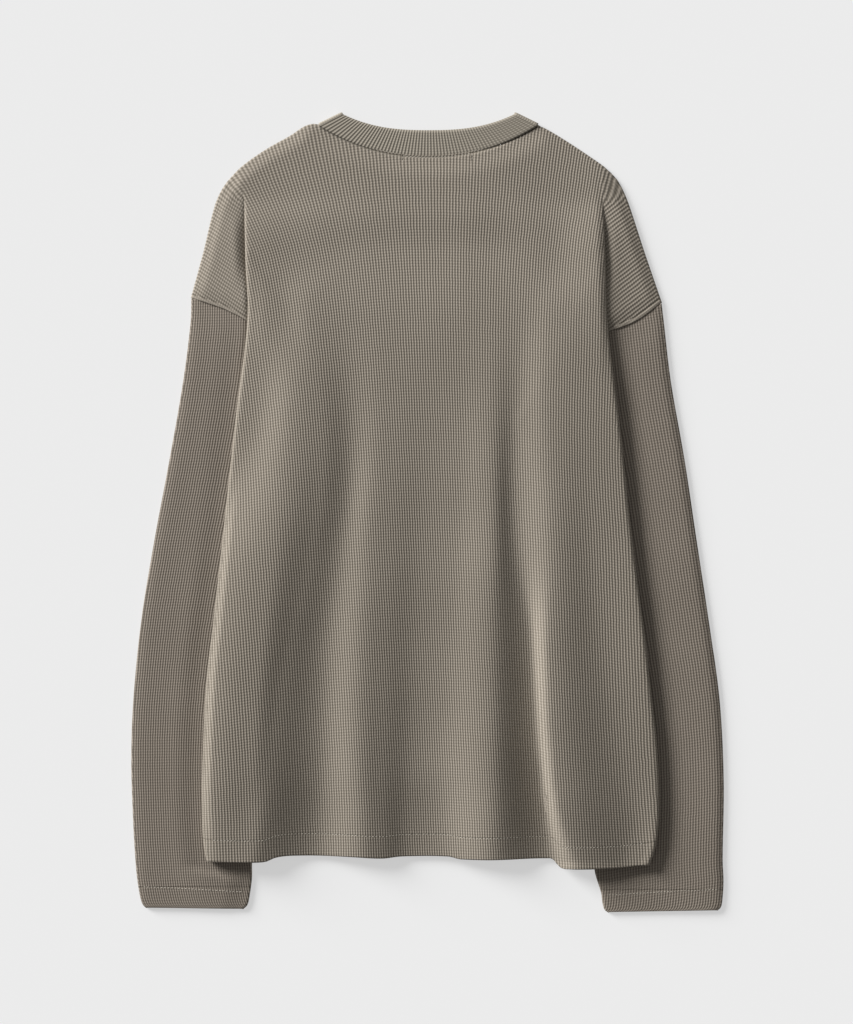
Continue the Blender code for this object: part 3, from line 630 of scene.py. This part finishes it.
def makePanel(name, plan, neckAt, material):
    shown = plan["toNeck"] + plan["toFold"]
    seamColumn = shown + plan["crest"] + plan["turned"]
    lastColumn = seamColumn + plan["valley"] + plan["flap"]
    levels = {side: rowLevels(side, plan) for side in sides}
    rows = len(levels[1]) - 1
    armpitRow = plan["upper"] + plan["toArmpit"]
    spots = {side: [panelRow(side, row, levels[side], plan, neckAt)
                    for row in range(rows + 1)] for side in sides}
    allRows = rows + plan["curl"]
    mesh, knit, seams = startGrid(2 * lastColumn, allRows)
    cells, places, gone = {}, {}, []
    for vert in mesh.verts:
        column, row = gridPlace(vert, 2 * lastColumn, allRows)
        side = -1 if column < lastColumn else 1
        column, row = abs(column - lastColumn), row - plan["curl"]
        out, y, z, u, v = spots[side][max(row, 0)][column]
        vert.co = (side * out + body["centre"], y, z)
        cells[vert], places[vert] = (u, v), (side, column, row)
        if row > armpitRow and column > seamColumn or row < 0 and column < plan["toNeck"]:
            gone.append(vert)
        neckWay = farAway if out > body["neckHalf"] else neckAt(out) - y
        hemWay = armWay = farAway
        if row > armpitRow:
            hemWay = y - (follow(hemCurve, side * out) if column <= shown
                          else body["foldHem"][side])
        if column > seamColumn:
            armWay = fromLine(armholeLine[side], out, y)
        vert[seams] = (armWay, hemWay, neckWay)
    # the upper edge curls down over the front at the shoulder
    for vert, (side, column, row) in places.items():
        if row >= 0 or column <= plan["toNeck"]:
            continue
        edge = spots[side][0]
        here = edge[column]
        a = next((p for p in edge[column::-1] if here[0] - p[0] > 0.5), here)
        b = next((p for p in edge[column:] if p[0] - here[0] > 0.5), here)
        run, fall = b[0] - a[0], b[1] - a[1]
        length = hypot(run, fall)
        bend = pi / 2 * -row / plan["curl"]
        way = Vector((-side * fall / length, run / length, 0))
        vert.co += way * body["curl"] * sin(bend)
        vert.co.z -= body["curl"] * (1 - cos(bend))
        u, v = cells[vert]
        cells[vert] = (u, v - body["curl"] * bend / backKnit["course"])
    bmesh.ops.delete(mesh, geom=gone, context="VERTS")
    mapKnit(mesh, knit, cells, mesh.verts[:])
    faceUp(mesh, [face for face in mesh.faces if places[face.verts[0]][1] < shown])
    if neckAt is frontNeck:
        # the front lies under the back, and lower where the neckband is between them
        moves = {}
        for vert in mesh.verts:
            drop = body["frontDrop"]
            if places[vert][1] <= shown:
                drop += neckLift(vert.co.x - body["centre"], vert.co.y)
            moves[vert] = vert.normal * drop
        for vert, move in moves.items():
            vert.co -= move
            vert.co.z = max(vert.co.z, body["cloth"] / 2)
    return addCloth(name, mesh, material)


sleeves = {
    "edge": {
        -1: [(205.9, 228.5), (183.8, 229), (126.2, 236.2), (49.4, 249.6), (-27.4, 264),
             (-104.2, 276.5), (-181, 284.2), (-238.6, 286.1), (-296.2, 284.4), (-334, 282.2),
             (-353, 280.4), (-370, 277.6), (-378, 275), (-381.6, 271.5)],
        1: [(201, 224.6), (183.8, 226.5), (126.2, 233.3), (49.4, 246.7), (-27.4, 258.2),
            (-104.2, 269.8), (-181, 280.3), (-257.8, 284.2), (-334.6, 283.2), (-354, 284),
            (-370, 283.2), (-380, 281.6), (-384, 278)],
    },
    "underarm": {
        -1: [(87.8, 84.5), (30.2, 103), (-46.6, 128.5), (-123.4, 146), (-219.4, 161),
             (-336.5, 171.2), (-352, 171.4), (-371, 174), (-377.6, 175.8), (-381.2, 179.5)],
        1: [(87.8, 84.5), (30.2, 103), (-46.6, 122), (-123.4, 135), (-219.4, 147),
            (-344.2, 161.3), (-366, 167.6), (-376, 169), (-382, 170.8), (-384.4, 174)],
    },
    "cuff": {-1: (-381.6, -381.2), 1: (-384.0, -384.4)},  # outer and inner corner
    # the rings at the armhole, as (way down, how far below the body's cloth)
    "tuck": [(-3.2, 1.6), (-1.6, 1.4), (-0.4, 0.7), (0.5, 0.1), (1.8, 0.0)],
    # how far the upper layer stands off, by the distance from its outer edge
    "crown": {-1: curve([(0, 0), (4, 0.5), (9, 0.65), (20, 0.7), (35, 0.95), (50, 1.7), (65, 2.3),
                         (80, 2.4)]),
              1: curve([(0, 0), (3, 1.1), (7, 1.5), (18, 1.55), (32, 1.1), (50, 0.5), (80, 0.3)])},
    "crownRun": 24.0,  # it comes down beside the body over this width
    "crownEnds": (0.06, 0.93),  # and at both ends of the sleeve, as shares of its length,
    "crownLeft": 0.45,  # to this share of itself
    "under": 6.0,  # the body's fold lies over it so far
    "bareRun": 14.0,  # below the body it all shows within this
    "carried": 0.15,  # the share of its length that carries on the dropped shoulder's rise
    "length": 595.0,
    "around": 44,  # steps across one layer
    "down": 130,
    "bend": 6,
    "wale": {-1: (2.28, 2.28), 1: (2.55, 2.60)},  # at the top and at the cuff
    "course": 2.70,
    "courseTilt": {-1: 0.02, 1: -0.17},
    "flat": (0.25, 0.60), "area": {-1: 0.1454, 1: 0.1493},
}


def sleevePlan(side, across, down):
    # a sleeve from above, as (out, level), between its four edges
    seam, edge, under = armholeLine[side], sleeveEdge[side], sleeves["underarm"][side]
    corners = [(along(line, 1.0)[0], level)
               for line, level in zip((edge, under), sleeves["cuff"][side])]
    low = mixEach(*corners, across)
    beside = mixEach(along(edge, down), along(under, down), across)
    between = mixEach(along(seam, across), low, down)
    straight = mixEach(mixEach(along(seam, 0.0), along(seam, 1.0), across), low, down)
    return tuple(a + b - c for a, b, c in zip(beside, between, straight))


def sleevePuff(side, out, y, down, outer, inner):
    bare = below(y, body["foldHem"][side] - sleeves["under"], sleeves["bareRun"])
    edge = mix(follow(foldCurve[side], y) + sleeves["under"], inner, bare)
    start, end = sleeves["crownEnds"]
    crown = follow(sleeves["crown"][side], outer - out) * ease((out - edge) / sleeves["crownRun"])
    crown *= mix(sleeves["crownLeft"], 1.0, ease(down / start))
    crown *= mix(1.0, sleeves["crownLeft"], ease((down - end) / (1 - end)))
    carried = foldShape["seamShare"] * (1 - ease(down / sleeves["carried"]))
    return crown + flapRise(side, out, y) * carried


def sleeveRing(side, down):
    # points round a sleeve as (out, level, height, u): its upper layer from the outer edge in,
    # the bend at the underarm, its lower layer and the bend at the outer edge
    bends = sleeves["bend"]
    low = body["cloth"] / 2
    radius = (body["flapHeight"] - low) / 2
    wale = mix(*sleeves["wale"][side], down)
    upper = [sleevePlan(side, t, down) for t in steps(0, 1, sleeves["around"])]
    outer, inner = upper[0], upper[-1]
    ring = [(out, y, body["flapHeight"] + sleevePuff(side, out, y, down, outer[0], inner[0]),
             (outer[0] - out) / wale) for out, y in upper]
    u = ring[-1][3]
    for a in steps(0, pi, bends)[1:-1]:
        ring.append((inner[0] - radius * sin(a), inner[1], low + radius * (1 + cos(a)),
                     u + radius * a / wale))
    ring += [(out, y, low, u + (out - inner[0]) / wale + 2) for out, y in upper[::-1]]
    u = ring[-1][3]
    for a in steps(0, pi, bends)[1:]:
        ring.append((outer[0] + radius * sin(a), outer[1], low + radius * (1 - cos(a)),
                     u + radius * a / wale))
    return ring


def makeSleeve(side, name, material):
    around = 2 * (sleeves["around"] + sleeves["bend"])
    mesh, knit, seams = startGrid(around, sleeves["down"])
    # the rings lie closer together at the cuff
    downs = [way / sleeves["length"] for way, drop in sleeves["tuck"]]
    run = sleeves["down"] - len(downs) + 1
    downs += [mix(downs[-1], 1.0, 1 - (1 - n / run) ** 1.25) for n in range(1, run + 1)]
    rings = [sleeveRing(side, max(down, 0.0)) for down in downs]
    cuffLevel = mix(*sleeves["cuff"][side], 0.5)
    cells = {}
    for vert in mesh.verts:
        n, ring = gridPlace(vert, around, sleeves["down"])
        out, y, z, u = rings[ring][n]
        if n <= sleeves["around"] and ring < len(sleeves["tuck"]):
            way, drop = sleeves["tuck"][ring]
            y -= min(way, 0.0)
            z -= drop
        vert.co = (side * out + body["centre"], y, max(z, body["cloth"] / 2))
        tilt = sleeves["courseTilt"][side] * out
        cells[vert] = (side * u, -(y + tilt) / sleeves["course"])
        vert[seams] = (farAway, y - cuffLevel, farAway)
    mapKnit(mesh, knit, cells, mesh.verts[:])
    bmesh.ops.recalc_face_normals(mesh, faces=mesh.faces[:])
    faceUp(mesh, [max(mesh.faces, key=lambda face: face.calc_center_median().z)])
    return addCloth(name, mesh, material)


sleeveEdge = {side: [armholeLine[side][0]] + movedIn(
    sleeves["edge"][side], body["cloth"] / 2 + body["valleyRadius"])[1:] for side in sides}

neckBand = {
    "top": 381.9, "half": 82.0, "dip": 15.2, "curve": 2.6, "frontDrop": 94.4,
    "rib": 2.6,  # the folded rib, between its two faces
    "ribPitch": 3.2,
    "ribDepth": 0.22,
    "ribSteps": 6,
    "frontRibs": 1.35,  # so many times the ribs of the back
    "frontSteps": 4,
    "turnRib": 0.2,  # share of a rib in each step round the turned ends
    "row": 2.4,
    "edge": (0.45, 0.09),  # the free edge thins to this share, over this share of the width
    "ribFade": 0.06,  # and the ribs end over this one
    "gap": 1.0,
    "lap": 1.2,  # over the panels' edges
    "width": 24.9,
    "turn": 6,
    "rows": 12,
    "flat": (0.56, 0.025), "area": 0.0137,  # of the double cloth
}


def bandLine(share, front):
    # the seam's end and the free end of the band at a share of its half width
    side = -1 if share < 0 else 1
    t = abs(share)
    seamOut, freeOut = t * body["neckHalf"], t * neckBand["half"]
    if front:
        seamY = frontNeck(seamOut)
        freeY = neckBand["top"] - neckBand["frontDrop"] * (1 - t * t) ** 0.5
    else:
        seamY = backNeck(seamOut)
        freeY = neckBand["top"] - neckBand["dip"] * (1 - t ** neckBand["curve"])
    return (Vector((side * seamOut + body["centre"], seamY - neckBand["lap"], 0)),
            Vector((side * freeOut + body["centre"], freeY, 0)))


def makeNeckBand(material):
    plan = neckBand
    low = plan["rib"] / 2
    high = low + plan["rib"] + plan["gap"]
    middle, radius = (low + high) / 2, (high - low) / 2
    ribs = round(2 * body["neckHalf"] / plan["ribPitch"])
    count = ribs * plan["ribSteps"]
    stations = [(bandLine(share, False), Vector((0, 0, high)), n / plan["ribSteps"])
                for n, share in enumerate(steps(-1, 1, count))]
    turnWay = Vector((body["neckHalf"] - plan["half"], body["neckPoint"] - plan["top"], 0))
    turnWay.normalize()
    frontCount = round(ribs * plan["frontRibs"]) * plan["frontSteps"]
    for side in (1, -1):
        away = Vector((-turnWay.y * side, turnWay.x, 0))
        for n in range(1, plan["turn"]):
            a = pi * n / plan["turn"]
            lift = Vector((0, 0, middle + radius * cos(a) * side)) + away * radius * sin(a)
            stations.append((bandLine(side, False), lift, stations[-1][2] + plan["turnRib"]))
        if side > 0:
            first = stations[-1][2] + plan["turnRib"]
            for n, a in enumerate(steps(pi / 2, -pi / 2, frontCount)):
                stations.append((bandLine(sin(a), True), Vector((0, 0, low)),
                                 first + n / plan["frontSteps"]))
    stations.append((*stations[0][:2], stations[-1][2] + plan["turnRib"]))
    last, rows = len(stations) - 1, plan["rows"]
    mesh, knit, seams = startGrid(last, rows)
    cells = {}
    for vert in mesh.verts:
        n, row = gridPlace(vert, last, rows)
        (seam, free), lift, u = stations[n]
        t = row / rows
        vert.co = free.lerp(seam, t) + lift
        cells[vert] = (u, t * plan["width"] / plan["row"])
        vert[seams] = (farAway, t * plan["width"], (1 - t) * plan["width"])
    mapKnit(mesh, knit, cells, [vert for vert in mesh.verts if vert.is_boundary])
    bmesh.ops.recalc_face_normals(mesh, faces=mesh.faces[:])
    faceUp(mesh, [face for face in mesh.faces if face.calc_center_median().z > high - 0.1])
    # a closed wall round that middle, with its ribs on both faces and its free edge rounded
    inner = bmesh.ops.duplicate(mesh, geom=mesh.verts[:] + mesh.edges[:] + mesh.faces[:])
    pairs = inner["vert_map"]
    thin, thinRun = plan["edge"]
    moves = {}
    for vert in [vert for vert in mesh.verts if vert in pairs and vert in cells]:
        u, v = cells[vert]
        t = v * plan["row"] / plan["width"]
        rib = plan["ribDepth"] * (cos(2 * pi * u) - 1) / 2 * ease(t / plan["ribFade"])
        moves[vert] = vert.normal * ((plan["rib"] / 2 + rib) * mix(thin, 1, ease(t / thinRun)))
    for vert, move in moves.items():
        twin = pairs[vert]
        twin.co -= move
        vert.co += move
        cells[twin] = cells[vert]
    twins = [face for face in inner["geom"] if isinstance(face, bmesh.types.BMFace)]
    bmesh.ops.reverse_faces(mesh, faces=twins)
    rim = [edge for edge in mesh.edges if edge.is_boundary]
    free = [edge for edge in rim if cells[edge.verts[0]][1] < 0.01]
    bmesh.ops.bridge_loops(mesh, edges=free)
    bmesh.ops.bridge_loops(mesh, edges=[edge for edge in rim if edge not in free])
    return addPiece("neckBand", mesh, material)


stitching = {
    "long": 2.6, "pitch": 3.3, "wide": 0.75, "high": 0.50,
    "cuff": 22.0,  # from the cuff's edge to its stitches
    "hemTo": 206.0,  # how far out the hem's stitches go
    "label": (-24.5, 42.0), "labelDown": 1.6, "labelGap": 0.6, "labelEnd": 7.0,
}


def stitchRow(line):
    # ends of the stitches along a line of points, which lie close together
    marks = marksAlong(line)
    curves = [(marks, values) for values in zip(*line)]
    ends = []
    at = 0.0
    while at + stitching["long"] < marks[-1]:
        ends.append([Vector([follow(c, at + step) for c in curves])
                     for step in (0.0, stitching["long"])])
        at += stitching["pitch"]
    return ends


def onBack(x, y):
    side = -1 if x < 0 else 1
    lift = bodyHeight(x, y) + bodyLift(side, abs(x), y) + body["cloth"] / 2
    return Vector((x + body["centre"], y, lift))


def stitchLines():
    # along the hem, under the label's edge and down its ends, and round the cuffs
    reach = stitching["hemTo"]
    lines = [[onBack(x, follow(hemCurve, x) + body["hemWidth"])
              for x in steps(-reach, reach, 206)]]
    start, end = stitching["label"]
    under = stitching["labelDown"]
    lines.append([onBack(x, backNeck(abs(x)) - under) for x in steps(start, end, 20)])
    for x in (start, end):
        top = backNeck(abs(x)) - under - stitching["labelGap"]
        lines.append([onBack(x, y) for y in steps(top, top - stitching["labelEnd"], 6)])
    down = 1 - stitching["cuff"] / sleeves["length"]
    for side in sides:
        points = [sleevePlan(side, across, down) for across in steps(0, 1, 60)]
        edges = points[0][0], points[-1][0]
        lines.append([Vector((side * out + body["centre"], y, body["flapHeight"]
                              + sleevePuff(side, out, y, down, *edges) + body["cloth"] / 2))
                      for out, y in points[2:-2]])
    return lines


def makeStitches(material):
    mesh = bmesh.new()
    for line in stitchLines():
        for a, b in stitchRow(line):
            way = b - a
            turn = Vector((1, 0, 0)).rotation_difference(way).to_matrix().to_4x4()
            size = Matrix.Diagonal((way.length / 2, stitching["wide"] / 2,
                                    stitching["high"] / 2, 1))
            bmesh.ops.create_uvsphere(mesh, u_segments=6, v_segments=5, radius=1,
                                      matrix=Matrix.Translation((a + b) / 2) @ turn @ size)
    return addPiece("stitches", mesh, material)


class Wire:
    # wraps a socket, so that shader maths is written as plain expressions
    def __init__(self, graph, socket):
        self.graph, self.socket = graph, socket

    def __add__(self, other):
        return self.graph.maths("ADD", self, other)

    def __sub__(self, other):
        return self.graph.maths("SUBTRACT", self, other)

    def __rsub__(self, other):
        return self.graph.maths("SUBTRACT", other, self)

    def __mul__(self, other):
        return self.graph.maths("MULTIPLY", self, other)

    __radd__ = __add__
    __rmul__ = __mul__


class Graph:
    def __init__(self, name):
        self.material = bpy.data.materials.new(name)
        self.material.use_nodes = True
        self.tree = self.material.node_tree
        self.tree.nodes.clear()

    def node(self, kind, settings=None, sockets=None, output=0):
        made = self.tree.nodes.new("ShaderNode" + kind)
        for key, value in (settings or {}).items():
            setattr(made, key, value)
        for key, value in (sockets or {}).items():
            if isinstance(value, Wire):
                self.tree.links.new(value.socket, made.inputs[key])
            else:
                made.inputs[key].default_value = value
        return Wire(self, made.outputs[output]) if made.outputs else None

    def maths(self, operation, *values):
        return self.node("Math", {"operation": operation}, dict(enumerate(values)))

    def blend(self, factor, a, b):
        return self.node("Mix", {"data_type": "RGBA"}, {0: factor, 6: a, 7: b}, 2)

    def step(self, value, low, high):
        return self.node("MapRange", {"interpolation_type": "SMOOTHSTEP"},
                         {0: value, 1: low, 2: high})

    def finish(self, shader):
        self.node("OutputMaterial", {}, {"Surface": shader})
        return self.material

    def part(self, vector, axis):
        return self.node("SeparateXYZ", {}, {0: vector}, axis)

    def noise(self, place, scale, detail):
        return self.node("TexNoise", {}, {"Vector": place, "Scale": scale, "Detail": detail})

    def wave(self, value):
        # 1 at whole numbers and 0 halfway between them
        return self.maths("COSINE", value * (2 * pi)) * 0.5 + 0.5

    def near(self, value, at, width):
        # 1 at a distance, 0 beyond a width round it
        return 1 - self.step(self.maths("ABSOLUTE", value - at), 0.0, width)


# Colours are linear
knitLook = {
    # the hole colour is the knit's darker cells, with painted shade in them
    "yarn": (0.400, 0.354, 0.297, 1), "holeAndShade": (0.105, 0.090, 0.069, 1),
    # the rib's hole colour is its darker grooves, with painted shade in them
    "ribYarn": (0.345, 0.311, 0.259, 1), "ribHoleAndShade": (0.205, 0.182, 0.147, 1),
    "thread": (0.36, 0.33, 0.28, 1), "threadLight": (0.52, 0.48, 0.41, 1),
    "tone": (1, 1, 1, 1), "sleeveTone": (0.865, 0.845, 0.85, 1),
    "relief": 0.00045, "sleeveRelief": 0.00036, "ribRelief": 0.00030,  # in metres
    "threadRelief": 0.0001,
    "wale": (0.70, 0.34, 0.24),  # a wale's height, and a course's on it and between two
    "wander": (0.35, 0.25),  # how far the cells wander, across and down
    "welt": 3.4,  # the armhole's welt is so wide
    "weltCalm": (0.55, 0.42),  # on it the knit is so much flatter, and so high
    # where a groove runs along a seam, how wide and how deep; it also darkens the colour there as
    # painted shade
    "grooves": {"arm": (3.8, 1.2, 0.35), "hem": (body["hemWidth"], 1.1, 0.5),
                "neck": (1.6, 1.5, 1.6)},
    "bump": {"spots": 0.12, "groove": 1.4, "welt": 0.5},
    "shade": {"knit": 0.62, "base": 0.125, "spots": 0.16, "soft": 0.10, "groove": 0.28},
    "labelEnds": (-0.0235, 0.0430), "labelLevel": 0.3405, "labelReach": (0.0013, 0.0065),
    "labelShadeDepth": 1.1,
    "upper": (0.12, 0.24), "upperLight": 0.04,  # lighter above these levels, in metres
    "lower": (-0.15, 0.08), "lowerDark": 0.03,  # and darker below these
    "roughness": 0.95, "gloss": 0.15,
    "sheen": 0.18, "sheenTint": (0.72, 0.67, 0.58, 1), "sheenRoughness": 0.5,
}


def clothShader(graph, colour, height, relief):
    bump = graph.node("Bump", {}, {"Strength": 1.0, "Distance": relief, "Height": height})
    return graph.finish(graph.node("BsdfPrincipled", {}, {
        "Base Color": colour, "Roughness": knitLook["roughness"], "Normal": bump,
        "Specular IOR Level": knitLook["gloss"], "Sheen Weight": knitLook["sheen"],
        "Sheen Roughness": knitLook["sheenRoughness"], "Sheen Tint": knitLook["sheenTint"],
    }))


def waffleKnit(name, tone, relief):
    graph = Graph(name)
    uv = graph.node("UVMap", {"uv_map": "knit"})
    place = graph.node("TexCoord", {}, {}, 3)
    wobble = graph.noise(place, 90.0, 1.0)
    u, v = [graph.part(uv, k) + (wobble - 0.5) * knitLook["wander"][k] for k in (0, 1)]
    seams = graph.node("Attribute", {"attribute_name": "seams"}, {}, 1)
    ways = {key: graph.part(seams, k) for k, key in enumerate(("arm", "hem", "neck"))}
    across, level = graph.part(place, 0), graph.part(place, 1)
    rib, bar = graph.wave(u), graph.wave(v)
    high, onWale, between = knitLook["wale"]
    waffle = rib * (bar * onWale + high) + (1 - rib) * bar * between
    welt = 1 - graph.step(ways["arm"], knitLook["welt"] - 1, knitLook["welt"])
    flatter, raised = knitLook["weltCalm"]
    calm = waffle * (1 - welt * flatter) + welt * raised
    # the label's stitched ends pull the cloth in, and that dent is darkened as painted shade
    wide, high = knitLook["labelReach"]
    left, right = [graph.near(across, at, wide) for at in knitLook["labelEnds"]]
    pulledAndShaded = (left + right) * graph.near(level, knitLook["labelLevel"], high)
    groove = pulledAndShaded * knitLook["labelShadeDepth"]
    for key, (at, width, depth) in knitLook["grooves"].items():
        groove = groove + graph.near(ways[key], at, width) * depth
    spots, soft = graph.noise(place, 900.0, 2.0), graph.noise(place, 14.0, 3.0)
    lighter = (graph.step(level, *knitLook["upper"]) * knitLook["upperLight"]
               - (1 - graph.step(level, *knitLook["lower"])) * knitLook["lowerDark"])
    # the seam grooves and the label's pulled ends darken the colour as painted shade
    by = knitLook["shade"]
    shade = (calm * by["knit"] + by["base"] + spots * by["spots"] + (soft - 0.5) * by["soft"]
             - groove * by["groove"] + lighter)
    # the cells' dark colour is partly the knit's own and partly painted shade
    holeAndShade, yarn = [tuple(c * t for c, t in zip(knitLook[k], tone)) for k in ("holeAndShade", "yarn")]
    colour = graph.blend(graph.step(shade, 0.0, 1.05), holeAndShade, yarn)
    by = knitLook["bump"]
    height = calm + spots * by["spots"] - groove * by["groove"] + welt * by["welt"]
    return clothShader(graph, colour, height, relief)


def ribKnit():
    graph = Graph("neckRib")
    uv = graph.node("UVMap", {"uv_map": "knit"})
    place = graph.node("TexCoord", {}, {}, 3)
    rib, bar = graph.wave(graph.part(uv, 0)), graph.wave(graph.part(uv, 1))
    height = rib * (bar * 0.45 + 0.55) + (1 - rib) * bar * 0.2
    height = height + graph.noise(place, 900.0, 2.0) * 0.15
    # the lower parts of the rib take the darker colour, partly painted shade
    colour = graph.blend(graph.step(height, 0.0, 1.1), knitLook["ribHoleAndShade"], knitLook["ribYarn"])
    return clothShader(graph, colour, height, knitLook["ribRelief"])


def sewingThread():
    graph = Graph("sewingThread")
    place = graph.node("TexCoord", {}, {}, 3)
    spots = graph.noise(place, 1500.0, 1.0)
    colour = graph.blend(spots, knitLook["thread"], knitLook["threadLight"])
    return clothShader(graph, colour, spots, knitLook["threadRelief"])


studio = {
    "floor": (0.363, 0.363, 0.363, 1),
    "floorGlow": 0.498,  # a pale table lit from inside, so its shadows stay light
    "keyFrom": (-0.90, 0.62, 0.361),  # towards the light
    "keyStrength": 6.62,
    "keyAngle": 27.0,
    "fill": 0.257,
    "floorReach": 4000.0,
    "cameraHeight": 3000.0,
    "sensor": 36.0,
    "seen": 983.04,  # height of what the camera sees, at a level
    "seenLevel": 6.0,
}


def makeStudio():
    floor = bmesh.new()
    bmesh.ops.create_grid(floor, x_segments=1, y_segments=1, size=studio["floorReach"])
    graph = Graph("paleFloor")
    pale = graph.finish(graph.node("BsdfPrincipled", {}, {
        "Base Color": studio["floor"], "Roughness": 0.9, "Specular IOR Level": 0.1,
        "Emission Color": (1, 1, 1, 1), "Emission Strength": studio["floorGlow"],
    }))
    addPiece("floor", floor, pale)
    key = bpy.data.lights.new("key", "SUN")
    key.energy = studio["keyStrength"]
    key.angle = radians(studio["keyAngle"])
    lamp = addObject("key", key)
    lamp.rotation_euler = Vector(studio["keyFrom"]).to_track_quat("Z", "Y").to_euler()
    lamp.location = Vector(studio["keyFrom"]) * 2
    world = bpy.data.worlds.new("studio")
    world.use_nodes = True
    background = world.node_tree.nodes["Background"]
    background.inputs[0].default_value = (1, 1, 1, 1)
    background.inputs[1].default_value = studio["fill"]
    bpy.context.scene.world = world
    bpy.context.scene.view_settings.view_transform = "Standard"
    camera = bpy.data.cameras.new("camera")
    camera.sensor_fit = "VERTICAL"
    camera.sensor_height = studio["sensor"]
    distance = studio["cameraHeight"] - studio["seenLevel"]
    camera.lens = studio["sensor"] * distance / studio["seen"]
    seat = addObject("camera", camera)
    seat.location = (-body["centre"] / 1000, 0, studio["cameraHeight"] / 1000)
    bpy.context.scene.camera = seat


def settle(piece, node):
    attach(piece, "root")
    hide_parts(node)


makeStudio()
waffle = waffleKnit("waffleKnit", knitLook["tone"], knitLook["relief"])
sleeveWaffle = waffleKnit("sleeveKnit", knitLook["sleeveTone"], knitLook["sleeveRelief"])
print("made the studio and the knit")
for name, node, plan, neckAt in (("backPanel", "back_panel", backPanel, backNeck),
                                 ("frontPanel", "front_panel", frontPanel, frontNeck)):
    panel = makePanel(name, plan, neckAt, waffle)
    settle(panel, node)
    print("made", name)
for side, name, node in ((-1, "sleeveLeft", "sleeve_left"), (1, "sleeveRight", "sleeve_right")):
    sleeve = makeSleeve(side, name, sleeveWaffle)
    settle(sleeve, node)
    print("made", name)
band = makeNeckBand(ribKnit())
settle(band, "neckband")
print("made the neckband")
stitches = makeStitches(sewingThread())
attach(stitches, "root")
print("made the stitches")
